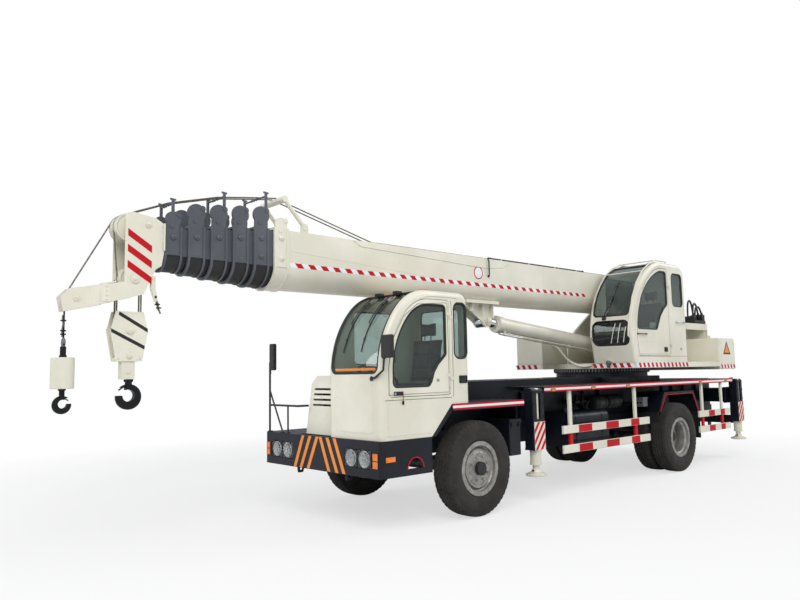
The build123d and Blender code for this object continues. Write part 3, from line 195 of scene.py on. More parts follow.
# Pressed steel wheel in aluminium paint, dulled by road dust
makeFinish("aluminiumPaint", "#8d8b88", 0.45, 0.55, None,
           [("Base Color", 14.0, 8.0, 0.7, "#76726c", "#a9a7a3", 0.30, 0.62),
            ("Roughness", 14.0, 8.0, 0.7, 0.6, 0.36), ("Normal", 14.0, 8.0, 0.7, 0.2, 0.0008)])
# Toughened tinted glass and a polycarbonate lens: clear, with sharp reflections
makeFinish("tintedGlass", "#bac8c4", 0.02, 0.0, {"IOR": 1.5, "Transmission Weight": 1.0})
makeFinish("clearPolycarbonate", "#f2f4f4", 0.05, 0.0, {"IOR": 1.58, "Transmission Weight": 1.0})
# Hard chrome on the cylinder's rod, lightly scuffed
makeFinish("hardChrome", "#c9ccd0", 0.12, 1.0, None, [("Roughness", 120.0, 3.0, 0.5, 0.08, 0.2)])
# Moulded black ABS, fine grain
makeFinish("mouldedAbs", "#141414", 0.5, 0.0, {"IOR": 1.53}, [("Normal", 420.0, 2.0, 0.5, 0.3, 0.0003)])
# Forged and blackened steel of the hooks, scaly
makeFinish("forgedSteel", "#1a1b1d", 0.5, 0.6, None,
           [("Roughness", 30.0, 6.0, 0.65, 0.35, 0.65), ("Normal", 30.0, 6.0, 0.65, 0.3, 0.001)])
# EPDM window gasket, matt
makeFinish("gasketRubber", "#0d0d0e", 0.55, 0.0, {"IOR": 1.5},
           [("Base Color", 22.0, 5.0, 0.6, "#0b0b0c", "#141415"), ("Roughness", 22.0, 5.0, 0.6, 0.45, 0.65)])
# Black vinyl seat cover with a leather grain of about 4 mm
tree, shader = makeFinish("seatVinyl", "#1c1c1e", 0.48, 0.0, {"IOR": 1.5, "Sheen Weight": 0.1})
place = addNode(tree, "ShaderNodeTexCoord")
cells = addNode(tree, "ShaderNodeTexVoronoi", None, {"Scale": 260.0}, {"Vector": (place, "Object")})
addNode(tree, "ShaderNodeBump", None, {"Strength": 0.35, "Distance": 0.0005}, {"Height": (cells, "Distance")},
        shader.inputs["Normal"])
# Greased wire rope: dark, half-shiny, a strand to about every 8 mm
tree, shader = makeFinish("steelRope", "#75716a", 0.5, 0.7, None,
                          [("Base Color", 40.0, 5.0, 0.6, "#625e57", "#827d74")])
place = addNode(tree, "ShaderNodeTexCoord")
strands = addNode(tree, "ShaderNodeTexWave", {"wave_type": "BANDS", "bands_direction": "DIAGONAL"},
                  {"Scale": 36.0, "Distortion": 0.4, "Detail": 1.0}, {"Vector": (place, "Object")})
addNode(tree, "ShaderNodeBump", None, {"Strength": 0.9, "Distance": 0.0015}, {"Height": (strands, "Fac")},
        shader.inputs["Normal"])


# Chequer plate on the decks: raised bars about 25 mm long in two directions
def chequerPlate(name):
    paint[name] = paint["navyEnamel"].copy()
    paint[name].name = name
    tree = paint[name].node_tree
    place = addNode(tree, "ShaderNodeTexCoord")
    waves = []
    for turn in (45, -45):
        turned = addNode(tree, "ShaderNodeMapping", None, {"Rotation": (0, 0, math.radians(turn))},
                         {"Vector": (place, "Object")})
        waves.append(addNode(tree, "ShaderNodeTexWave", {"wave_type": "BANDS", "bands_direction": "X"},
                             {"Scale": 7.5, "Distortion": 0.0}, {"Vector": (turned, "Vector")}))
    raised = ("GREATER_THAN", ("MULTIPLY", (waves[0], "Fac"), (waves[1], "Fac")), 0.55)
    addNode(tree, "ShaderNodeBump", None, {"Strength": 0.7, "Distance": 0.0015}, {"Height": raised},
            tree.nodes["Principled BSDF"].inputs["Normal"])


chequerPlate("chequerPlate")
print("materials made:", len(paint))


# Finishes that change over one node: the second starts at a place on it
def within(a, low, high):
    return "MULTIPLY", ("GREATER_THAN", a, low), ("LESS_THAN", a, high)


def nearAxis(a, b, centre, radius):
    # Closer than radius to a line along the third axis
    squares = [("POWER", ("SUBTRACT", place, middle), 2.0) for place, middle in zip((a, b), centre)]
    return "LESS_THAN", ("ADD", *squares), radius * radius


def dress(node, finish):
    nodes[node].data.materials.clear()
    nodes[node].data.materials.append(paint[finish])


def twoTone(node, first, second, zone):
    # zone takes the place's x, y and z in metres and gives the sum that is 1 where the second finish is
    name = f"{node}_paint"
    paint[name] = paint[first].copy()
    paint[name].name = name
    tree = paint[name].node_tree
    source = paint[second].node_tree
    ramps = [n for n in source.nodes if n.bl_idname == "ShaderNodeValToRGB"]
    inputs = source.nodes["Principled BSDF"].inputs
    colour = ramps[0].color_ramp.elements[0].color if ramps else inputs["Base Color"].default_value
    other = addNode(tree, "ShaderNodeBsdfPrincipled", None, {
        "Base Color": colour[:], "Metallic": inputs["Metallic"].default_value, "IOR": inputs["IOR"].default_value})
    addLayers(tree, other, [("Roughness", 14.0, 6.0, 0.6, 0.34, 0.6), ("Normal", 14.0, 6.0, 0.6, 0.15, 0.0006)])
    place = addNode(tree, "ShaderNodeTexCoord")
    parts = addNode(tree, "ShaderNodeSeparateXYZ", None, None, {"Vector": (place, "Object")})
    share = zone(*((parts, axis) for axis in "XYZ"))
    addNode(tree, "ShaderNodeMixShader", None, None, {0: share, 1: (tree.nodes["Principled BSDF"], 0), 2: (other, 0)},
            tree.nodes["Material Output"].inputs["Surface"])
    dress(node, name)


# Which finish each CAD node carries
finishOf = {
    "ivoryEnamel": "boom_base boom_head driver_cab driver_door engine_hood operator_cab operator_door side_locker "
                   "counterweight turntable luff_barrel side_guards",
    "navyEnamel": "front_bumper chassis_frame mudguards battery_boxes side_tanks",
    "chequerPlate": "deck",
    "dullBlackPaint": "engine propshaft front_axle rear_axle knuckle_left knuckle_right handrail winches",
    "tyreRubber": "front_tyre_left front_tyre_right rear_tyres_left rear_tyres_right",
    "tintedGlass": "driver_cab_glass driver_door_glass operator_cab_glass operator_door_glass",
    "clearPolycarbonate": "headlamps",
    "hardChrome": "luff_rod",
    "seatVinyl": "driver_seat operator_seat",
    "mouldedAbs": "mirrors steering hydraulic_lines",
}
for finish, names in finishOf.items():
    for node in names.split():
        dress(node, finish)

# Aluminium wheels with black hub caps, ivory jacks, legs with an ivory barrel, both hooks black and ivory
toneSetup = {"hubCap": 0.0728, "legBarrel": 0.0562, "barrelTop": 0.6058, "hookTop": 1.5402, "ball": (1.4712, 1.7312)}
s = toneSetup
for side, tag in sides:
    for node, x in ((f"front_rim_{tag}", 0.0), (f"rear_rims_{tag}", -wheelBase)):
        twoTone(node, "aluminiumPaint", "dullBlackPaint",
                lambda x, y, z, hub=at(x, 0, 510): nearAxis(x, z, (hub.x, hub.z), s["hubCap"]))
for leg, side, x in legs:
    dress(f"outrigger_jack_{leg}", "ivoryEnamel")
    twoTone(f"outrigger_beam_{leg}", "navyEnamel", "ivoryEnamel",
            lambda x, y, z, shaft=at(x, side * legY, 0): ("MAXIMUM", ("LESS_THAN", z, s["barrelTop"]),
                                                         nearAxis(x, y, shaft, s["legBarrel"])))
twoTone("hook_block", "ivoryEnamel", "forgedSteel", lambda x, y, z: ("LESS_THAN", z, s["hookTop"]))
twoTone("aux_hook", "forgedSteel", "ivoryEnamel", lambda x, y, z: within(z, *s["ball"]))

# Painted shade: the telescoping sections are given dull black under their crease, where their underside lies in shade;
# their ribs stay grey
boomSetup = {"halfWidth": 240.0, "halfHeight": 297.0, "stepY": 20.0, "stepZ": 20.5, "front": 2054.0, "pitch": 219.0,
             "height": 2722.0, "crease": 0.30}
for n in range(1, 6):
    s = boomSetup
    # Painted shade: the level of the crease, under which the section is dull black
    level = (s["height"] - s["crease"] * (s["halfHeight"] - s["stepZ"] * n) - 4) / 1000
    ends = [at(s["front"] + s["pitch"] * n - back, 0, 0).x for back in (0, 22, 148, 170)]
    twoTone(f"boom_section_{n + 1}", "greyEnamel", "dullBlackPaint", lambda x, y, z: (
        "MULTIPLY", ("LESS_THAN", z, level),
        ("SUBTRACT", 1.0, ("MAXIMUM", within(x, ends[1], ends[0] + 0.01), within(x, ends[3], ends[2])))))
print("nodes dressed")

# Floor, lights and world
studio = {"floorColour": "#e9e9e8", "skyColour": "#f4f6fa", "skyStrength": 0.5, "mirrorStrength": 0.5, "floorHalf": 60,
          "clearNear": 5.5, "clearFar": 10.0, "clearLeast": 0.62,    # metres over which the floor fades to plain white
          "lamps": (("key", (9, 9, 11), 9, 1350), ("fill", (14, -8, 7), 8, 620), ("rim", (-10, 6, 9), 8, 620))}


def makeStudio(s):
    scene = bpy.context.scene
    scene.view_settings.view_transform = "Standard"
    world = bpy.data.worlds.new("studio")
    scene.world = world
    world.use_nodes = True
    tree = world.node_tree
    tree.nodes.clear()
    rays = addNode(tree, "ShaderNodeLightPath")
    seen = ("MAXIMUM", (rays, "Is Camera Ray"), (rays, "Is Transmission Ray"))
    level = addNode(tree, "ShaderNodeMapRange", None, {"To Min": s["skyStrength"], "To Max": s["mirrorStrength"]},
                    {"Value": (rays, "Is Glossy Ray")})
    sky = addNode(tree, "ShaderNodeBackground", None, {"Color": linearColour(s["skyColour"])}, {"Strength": (level, 0)})
    back = addNode(tree, "ShaderNodeBackground", None, {"Color": (1, 1, 1, 1), "Strength": 1.0})
    mix = addNode(tree, "ShaderNodeMixShader", None, None, {0: seen, 1: (sky, 0), 2: (back, 0)})
    addNode(tree, "ShaderNodeOutputWorld", None, None, {"Surface": (mix, 0)})

    mesh = bpy.data.meshes.new("floor")
    half = s["floorHalf"]
    mesh.from_pydata([(-half, -half, 0), (half, -half, 0), (half, half, 0), (-half, half, 0)], [], [(0, 1, 2, 3)])
    floor = bpy.data.objects.new("floor", mesh)
    scene.collection.objects.link(floor)
    # Matt painted studio floor, evenly light
    tree, shader = makeFinish("studioFloor", s["floorColour"], 0.9, 0.0, None,
                              [("Roughness", 3.0, 4.0, 0.5, 0.85, 0.95)])
    rays = addNode(tree, "ShaderNodeLightPath")
    white = addNode(tree, "ShaderNodeEmission", None, {"Color": (1, 1, 1, 1), "Strength": 1.0})
    place = addNode(tree, "ShaderNodeTexCoord")
    reach = addNode(tree, "ShaderNodeVectorMath", {"operation": "LENGTH"}, None, {0: (place, "Object")})
    fade = addNode(tree, "ShaderNodeMapRange", None,
                   {"From Min": s["clearNear"], "From Max": s["clearFar"], "To Min": s["clearLeast"], "To Max": 1.0},
                   {"Value": (reach, "Value")})
    share = ("MULTIPLY", (rays, "Is Camera Ray"), (fade, 0))
    addNode(tree, "ShaderNodeMixShader", None, None, {0: share, 1: (shader, 0), 2: (white, 0)},
            tree.nodes["Material Output"].inputs["Surface"])
    mesh.materials.append(paint["studioFloor"])

    for name, place, size, power in s["lamps"]:
        lamp = bpy.data.lights.new(name, "AREA")
        lamp.energy = power
        lamp.size = size
        obj = bpy.data.objects.new(name, lamp)
        obj.location = place
        obj.rotation_euler = (Vector((0, 0, 1.5)) - Vector(place)).to_track_quat("-Z", "Y").to_euler()
        scene.collection.objects.link(obj)


makeStudio(studio)
print("studio ready")


# Shared ways of making a piece
def meshFrom(name, points, faces):
    mesh = bpy.data.meshes.new(name)
    mesh.from_pydata([tuple(p) for p in points], [], faces)
    mesh.update()
    return mesh


def addPiece(name, mesh, finishes, body, smooth=None):
    obj = bpy.data.objects.new(name, mesh)
    bpy.context.scene.collection.objects.link(obj)
    for finish in finishes.split():
        mesh.materials.append(paint[finish])
    if smooth is not None:
        mesh.shade_smooth()
        mesh.set_sharp_from_angle(angle=math.radians(smooth))
    if body:
        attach(obj, body)
    return obj


def drawn(p):
    # The reverse of at
    return p.x * 1000 + midX, p.y * 1000, p.z * 1000


def around(count, radius, start=0.0):
    # Places on a circle, as pairs of offsets from its centre
    turns = [math.tau * (k + start) / count for k in range(count)]
    return [(radius * math.cos(t), radius * math.sin(t)) for t in turns]


def evenly(first, last, count):
    return [Vector(first).lerp(Vector(last), k / count) for k in range(count + 1)]


class Shape:
    # Gathers many small forms into one mesh; places are the drawing's millimetres, a slot is the finish's number
    def __init__(self):
        self.points, self.faces, self.slots = [], [], []

    def add(self, points, faces, slot=0):
        start = len(self.points)
        self.points += [at(*p) for p in points]
        self.faces += [[start + i for i in f] for f in faces]
        self.slots += [slot] * len(faces)

    def loft(self, rings, slot=0, closed=False, lids=True, inward=False):
        # A skin over rings of equal length; closed joins the last one to the first
        n, m = len(rings), len(rings[0])
        faces = []
        for i in range(n if closed else n - 1):
            for k in range(m):
                a, b, c, d = (i * m + k, i * m + (k + 1) % m, (i + 1) % n * m + (k + 1) % m, (i + 1) % n * m + k)
                faces.append([a, d, c, b] if inward else [a, b, c, d])
        if lids and not closed:
            faces += [list(range(m))[::-1], [(n - 1) * m + k for k in range(m)]]
        self.add([p for ring in rings for p in ring], faces, slot)

    def film(self, outline, lift, slot=0):
        # A flat shape with its edge turned down to the surface under it; outline anticlockwise from outside
        low = [Vector(p) for p in outline]
        normal = (low[1] - low[0]).cross(low[2] - low[0]).normalized() * lift
        n = len(low)
        faces = [list(range(n))] + [[i, n + i, n + (i + 1) % n, (i + 1) % n] for i in range(n)]
        self.add([p + normal for p in low] + low, faces, slot)

    def brick(self, first, second, bevel, slot=0):
        # A block between two opposite corners, its edges rounded
        spans = [sorted(pair) for pair in zip(first, second)]
        work = bmesh.new()
        corners = [work.verts.new((x, y, z)) for x in spans[0] for y in spans[1] for z in spans[2]]
        for f in ((0, 1, 3, 2), (4, 6, 7, 5), (0, 4, 5, 1), (2, 3, 7, 6), (0, 2, 6, 4), (1, 5, 7, 3)):
            work.faces.new([corners[i] for i in f])
        bmesh.ops.bevel(work, geom=work.edges[:], offset=bevel, segments=2, affect="EDGES", profile=0.7)
        work.verts.index_update()
        self.add([v.co[:] for v in work.verts], [[v.index for v in f.verts] for f in work.faces], slot)
        work.free()

    def tube(self, path, radius, count=12, slot=0, closed=False):
        # A round bar along points, mitred at its bends; a list gives a radius for each point
        path = [Vector(p) for p in path]
        n = len(path)
        rings, side = [], None
        for i, p in enumerate(path):
            before = (p - path[i - 1]).normalized() if closed or i else Vector()
            after = (path[(i + 1) % n] - p).normalized() if closed or i < n - 1 else Vector()
            ahead = (after + before).normalized()
            if side is None:
                side = ahead.orthogonal().normalized()
            side = (side - ahead * side.dot(ahead)).normalized()
            other = ahead.cross(side)
            r = radius[i] if isinstance(radius, list) else radius
            rings.append([p + side * a + other * b for a, b in around(count, r)])
        self.loft(rings, slot, closed)

    def turned(self, profile, centre, axis, count=32, slot=0):
        # (distance along the axis, radius) pairs turned about it
        centre, axis = Vector(centre), Vector(axis).normalized()
        side = axis.orthogonal().normalized()
        other = axis.cross(side)
        self.loft([[centre + axis * step + side * a + other * b for a, b in around(count, r)]
                   for step, r in profile], slot)

    def bolt(self, centre, axis, size, height, slot=0, washer=True):
        # A hexagon head on its washer, its crown chamfered
        base, r = 0, size * 0.58
        if washer:
            base = height * 0.2
            self.turned([(0, size * 0.95), (base, size * 0.95)], centre, axis, 16, slot)
        self.turned([(base, r), (height * 0.85, r), (height, r * 0.84)], centre, axis, 6, slot)

    def done(self, name, finishes, body, smooth=None):
        mesh = meshFrom(name, self.points, self.faces)
        for face, slot in zip(mesh.polygons, self.slots):
            face.material_index = slot
        return addPiece(name, mesh, finishes, body, smooth)


# Tyres with their tread, in place of the plain ones
tyreSetup = {
    "radius": 510.0, "around": 288, "grooves": (-62, -22, 22, 62), "grooveDepth": 12.0, "grooveWidth": 9.0,
    "zigzag": 5.0, "lugs": 48, "lugShare": 0.22, "shoulder": 84, "crownDrop": 9.0,
    "front": (975.0,), "rear": (985.0, 700.0),    # how far out each tyre of a wheel stands
    "side": ((92.3, 258.3), (92.3, 291), (108, 302), (113, 312), (120, 330), (122, 350), (124.5, 380), (125, 405),
             (124, 425), (121, 448), (118.5, 452), (117.5, 462), (118, 474), (114, 486), (110, 495)),
    "tread": (104, 96, 90, 84, 78, 72, 67, 62, 57, 51, 44, 38, 33, 27, 22, 17, 11, 5, 0),
}


def treadPlace(offset, radius, isTread, turn, s):
    # Where a place on the tyre's section lies at this turn, with its grooves and shoulder lugs
    step = turn * s["lugs"] / math.tau
    sway = (abs((step % 1) * 2 - 1) * 2 - 1) * s["zigzag"]    # one wave a lug
    gap = (step + (0.5 if offset > 0 else 0)) % 1 < s["lugShare"]
    if not isTread:
        return (offset * 0.955 if gap and radius > 470 else offset), radius
    if abs(offset) > s["shoulder"] and gap:
        return offset, radius - s["grooveDepth"] * 0.85
    cut = any(abs(offset - middle - math.copysign(1, middle) * sway) < s["grooveWidth"] / 2 for middle in s["grooves"])
    return offset, radius - (s["grooveDepth"] if cut else 0.0)


def tyre(centres, s):
    section = [(o, r, False) for o, r in s["side"]]
    section += [(float(o), s["radius"] - s["crownDrop"] * (o / s["tread"][0]) ** 4, True) for o in s["tread"]]
    section += [(-o, r, isTread) for o, r, isTread in reversed(section[:-1])]
    shape = Shape()
    for x, y in centres:
        rings = []
        for turn in (math.tau * k / s["around"] for k in range(s["around"])):
            places = [treadPlace(*place, turn, s) for place in section]
            rings.append([(x + r * math.cos(turn), y + o, s["radius"] + r * math.sin(turn)) for o, r in places])
        shape.loft(rings, 0, True, inward=True)
    return shape


for side, tag in sides:
    for row, node, x in (("front", "front_tyre", 0), ("rear", "rear_tyres", -wheelBase)):
        centres = [(x, side * y) for y in tyreSetup[row]]
        obj = tyre(centres, tyreSetup).done(f"{row}_tread_{tag}", "tyreRubber", f"wheel_{row}_{tag}", 38)
        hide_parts(f"{node}_{tag}")
print("tyres made")

# Sheet films: stripes and hazard bands
stripeSetup = {
    "lift": 0.8, "boomFace": 240, "boomPitch": 158.0, "boomLean": 40,
    "boomBand": (2640.0, 2688.0), "boomSpan": (-3445.0, 1845.0),
    "bumperWidth": 52.0,
    "bumperBars": ((-425, -266), (-308, -133), (-173, -2), (209, 53), (347, 178), (465, 301)),
    "bumper": (1371, 543, 889),    # its face and the ends of the bars
}
lift = stripeSetup["lift"]


def onSide(y, side, points):
    # Points (x, z) on a face that looks sideways, anticlockwise as seen from the right-hand side
    return [(x, y * side, z) for x, z in (points if side < 0 else points[::-1])]


def block(x0, x1, z0, z1, lean=0):
    return [(x0, z0), (x1, z0), (x1 + lean, z1), (x0 + lean, z1)]


def hazardBand(shape, face, first, last, low, high, pitch, lean):
    # Leaning red blocks with white ones between; face takes a block's outline onto the surface
    count = int(round((last - first) / pitch))
    half = (last - first) / count / 2
    for k in range(2 * count):
        shape.film(face(block(first + k * half, first + (k + 1) * half, low, high, lean)), lift, k % 2)


s = stripeSetup
for side, tag in sides:
    band = Shape()
    hazardBand(band, lambda points: onSide(s["boomFace"], side, points), *s["boomSpan"], *s["boomBand"], s["boomPitch"],
               s["boomLean"])
    band.done(f"boom_hazard_band_{tag}", "signalRedFilm whiteFilm", "boom_base")

bumper = Shape()
face, low, high = s["bumper"]
for foot, top in s["bumperBars"]:
    w = s["bumperWidth"] / 2
    bumper.film([(face, foot - w, low), (face, foot + w, low), (face, top + w, high), (face, top - w, high)], lift)
bumper.done("bumper_stripes", "signalOrangeFilm", "carrier")
print("stripes made")

# Window gaskets, swept round the edge of each pane's outer skin
gasketSetup = {
    "profile": [(-15, 0.6), (-13.5, 7), (-7, 14), (-1, 16.8), (8, 17), (11, 16), (12, 14.1), (0.5, 13), (0.5, 0.6)],
    "step": 14.0,    # millimetres between rings
    "leastArea": 0.02, "sameSkin": 0.94,
    "driverMiddle": (700, 595, 1650), "operatorMiddle": (-4300, 661, 2350),
}


def paneLoops(node, middle, s):
    # The edges of each pane's outer skin, a smooth group of faces that looks away from the middle of the cab
    work = bmesh.new()
    work.from_mesh(nodes[node].data)
    bmesh.ops.remove_doubles(work, verts=work.verts[:], dist=0.00002)
    work.faces.ensure_lookup_table()
    seen = set()
    loops = []
    for face in work.faces:
        if face.index in seen:
            continue
        seen.add(face.index)
        group, front = [face], [face]
        while front:
            one = front.pop()
            for other in (f for edge in one.edges for f in edge.link_faces):
                if other.index not in seen and one.normal.dot(other.normal) > s["sameSkin"]:
                    seen.add(other.index)
                    group.append(other)
                    front.append(other)
        area = sum(f.calc_area() for f in group)
        if area <= s["leastArea"]:
            continue
        centre = sum((f.calc_center_median() * f.calc_area() for f in group), Vector()) / area
        normal = sum((f.normal * f.calc_area() for f in group), Vector()).normalized()
        if normal.dot(centre - middle) < 0:
            continue
        inside = {f.index for f in group}
        follow = {}
        for loop in (loop for f in group for loop in f.loops):
            if all(f.index not in inside for f in loop.edge.link_faces if f is not loop.face):
                follow[loop.vert.index] = (loop.link_loop_next.vert.index, loop.vert.co.copy(), loop.face.normal.copy())
        while follow:
            key = next(iter(follow))
            line = []
            while key in follow:
                key, place, up = follow.pop(key)
                line.append((place, up))
            if len(line) > 3:
                loops.append(line)
    work.free()
    return loops


def gaskets(loops, s):
    shape = Shape()
    for line in loops:
        steps = []
        for i, (here, up) in enumerate(line):
            after = line[(i + 1) % len(line)][0]
            parts = max(1, int((after - here).length * 1000 / s["step"]))
            steps += [(here.lerp(after, k / parts), up) for k in range(parts)]
        rings = []
        for i, (here, up) in enumerate(steps):
            before, last = steps[i - 1]
            up = (up + last).normalized()
            d1, d0 = (steps[(i + 1) % len(steps)][0] - here).normalized(), (here - before).normalized()
            away = (d1 + d0).normalized().cross(up).normalized()
            mitre = 1 / max(0.6, math.sqrt(max(0.0, (1 + d1.dot(d0)) / 2)))
            rings.append([drawn(here + away * (a * mitre / 1000) + up * (b / 1000)) for a, b in s["profile"]])
        shape.loft(rings, 0, True, inward=True)
    return shape


s = gasketSetup
for cab, fixed in (("driver", "carrier"), ("operator", "superstructure")):
    for node, body in ((f"{cab}_cab", fixed), (f"{cab}_door", f"{cab}_door")):
        loops = paneLoops(f"{node}_glass", at(*s[f"{cab}Middle"]), s)
        gaskets(loops, s).done(f"{node}_gaskets", "gasketRubber", body, 40)
        print("gaskets on", node, len(loops))

# Films on the carrier: deck edges, guard rails, leg plates
trimSetup = {
    "deckFace": 1040, "guardFace": 1035, "legFace": 1046, "decks": ((-6540, -1240, 1349), (-840, 358, 1213)),
    "edgeBands": ((-64, -46, 0), (-46, -20, 1), (-20, -2, 0)),    # from the deck's top down, and the slot of each
    "legStripe": 60.0, "legRise": 262.0, "legHalf": 103, "legLows": (421.0, 544.0, 667.0, 790.0), "legEnds": (607, 939),
    "guardReds": ((-2239, -1939), (-2882, -2573), (-3425, -3203), (-5813, -5604), (-6190, -6030)),
    "guardPosts": (-1808, -3380, -5450, -6155),
}
s = trimSetup
for side, tag in sides:
    edge = Shape()
    for x0, x1, top in s["decks"]:
        for low, high, slot in s["edgeBands"]:
            edge.film(onSide(s["deckFace"], side, block(x0, x1, top + low, top + high)), lift, slot)
    edge.done(f"deck_edge_stripes_{tag}", "signalRedFilm whiteFilm", "carrier")
    reds = Shape()
    for low in (518, 758):
        for x0, x1 in s["guardReds"]:
            reds.film(onSide(s["guardFace"], side, block(x0, x1, low, low + 92)), lift)
    for x in s["guardPosts"]:
        reds.brick((x - 33, side * 984, 614.5), (x + 33, side * 1011, 753.5), 2)
    reds.done(f"guard_blocks_{tag}", "signalRedFilm", "carrier")


def cutLevel(points, level, above):
    # Keeps the part of an (x, z) outline above or below a level
    kept = []
    for i, (ax, az) in enumerate(points):
        bx, bz = points[(i + 1) % len(points)]
        inA, inB = ((z >= level) == above for z in (az, bz))
        if inA:
            kept.append((ax, az))
        if inA != inB:
            t = (level - az) / (bz - az)
            kept.append((ax + (bx - ax) * t, level))
    return kept


for leg, side, x in legs:
    plate = Shape()
    x0, x1 = x - s["legHalf"], x + s["legHalf"]
    foot, top = s["legEnds"]
    plate.film(onSide(s["legFace"], side, block(x0, x1, foot, top)), lift, 1)
    for low in s["legLows"]:
        # A bar climbing to the rear, cut off by the plate's ends
        high = low + s["legRise"]
        bar = [(x1 - 3, low), (x1 - 3, low + s["legStripe"]), (x0 + 3, high + s["legStripe"]), (x0 + 3, high)]
        bar = cutLevel(cutLevel(bar, foot + 4, True), top - 4, False)
        if len(bar) > 2:
            plate.film(onSide(s["legFace"] + lift, side, bar), lift)
    plate.done(f"leg_plate_stripes_{leg}", "signalRedFilm ivoryEnamel", f"outrigger_beam_{leg}")
print("carrier stripes made")

# Bands on the superstructure, head and hook block
bandSetup = {
    "tableFace": 1020, "weightFace": 1000, "headFace": 150, "blockFace": 58, "pitch": 118, "lean": 30,
    "table": (1562, 1628), "tableSpans": ((-5030, -3484), (-6180, -3320)),
    "fronts": ((-3310, -1012, -545), (-3480, 310, 985)), "weight": (-6800, -6206, 1524, 1588),
    "headLows": (2377, 2520, 2660),
    "cheeks": ([(3251, 1952), (3512, 2103), (3505, 2133), (3249, 1986)],
               [(3279, 1800), (3572, 1950), (3575, 1984), (3274, 1832)]),
}
s = bandSetup
for (side, tag), span in zip(sides, s["tableSpans"]):
    for name, y, places in (("table", s["tableFace"], (*span, *s["table"])),
                            ("counterweight", s["weightFace"], s["weight"])):
        band = Shape()
        hazardBand(band, lambda points: onSide(y, side, points), *places, s["pitch"], s["lean"])
        band.done(f"{name}_band_{tag}", "signalRedFilm whiteFilm", "superstructure")
front = Shape()
for x, *span in s["fronts"]:
    hazardBand(front, lambda points: [(x, y, z) for y, z in points], *span, *s["table"], s["pitch"], -s["lean"])
front.done("table_front_band", "signalRedFilm whiteFilm", "superstructure")
for side, tag in sides:
    head = Shape()
    for low in s["headLows"]:
        # The bands fall towards the boom, as in the photograph
        outline = [(3262, low), (3478, low + 138), (3478, low + 203), (3262, low + 65)]
        head.film(onSide(s["headFace"], side, outline), 1.0)
    head.done(f"head_stripes_{tag}", "signalRedFilm", "boom_section_6")
    cheek = Shape()
    for outline in s["cheeks"]:
        cheek.film(onSide(s["blockFace"], side, outline), 1.0)
    cheek.done(f"hook_block_stripes_{tag}", "blackFilm", "hook_block")
print("superstructure stripes made")

# Seats: each pad is blown up as cloth from a slightly smaller block, then sewn
seatSetup = {
    "shrink": 11.0, "voxel": 0.0105, "pressure": 4.0, "cap": 0.023, "steps": 20, "fill": 0.75,
    "channelDepth": 7.0, "channelWidth": 10.0, "piping": 3.6, "folds": 9,
    "places": (("driver_seat", "carrier", 520.0, 595.0, 1420.0),
               ("operator_seat", "superstructure", -4350.0, 661.0, 2080.0)),
    # Each pad's outline from the seat's x and top, its half width, the way its face looks, its level channels
    "pads": (("cushion", [(-236, -138), (256, -138), (256, -2), (-236, -2)], 238, (0, 0, 1), ()),
             ("back", [(-232, 8), (-133, 2), (-207, 516), (-291, 516)], 228, (1, 0, 0.14), (170, 330)),
             ("headrest", [(-288, 520), (-225, 520), (-242, 686), (-297, 686)], 118, (1, 0, 0.1), ())),
}


def bakeModifiers(obj):
    graph = bpy.context.evaluated_depsgraph_get()
    mesh = bpy.data.meshes.new_from_object(obj.evaluated_get(graph))
    obj.modifiers.clear()
    obj.data = mesh


def loopAt(obj, z):
    # The pad's outline where a level plane cuts it, in order
    work = bmesh.new()
    work.from_mesh(obj.data)
    everything = work.verts[:] + work.edges[:] + work.faces[:]
    bmesh.ops.bisect_plane(work, geom=everything, plane_co=(0, 0, z), plane_no=upward)
    steps = {}
    for e in work.edges:
        if all(abs(v.co.z - z) < 1e-5 for v in e.verts):
            a, b = e.verts
            steps.setdefault(a, []).append(b)
            steps.setdefault(b, []).append(a)
    path = list(steps)[:1]
    while path:
        ahead = [v for v in steps[path[-1]] if v not in path]
        if not ahead:
            break
        path.append(ahead[0])
    points = [v.co.copy() for v in path]
    work.free()
    return points


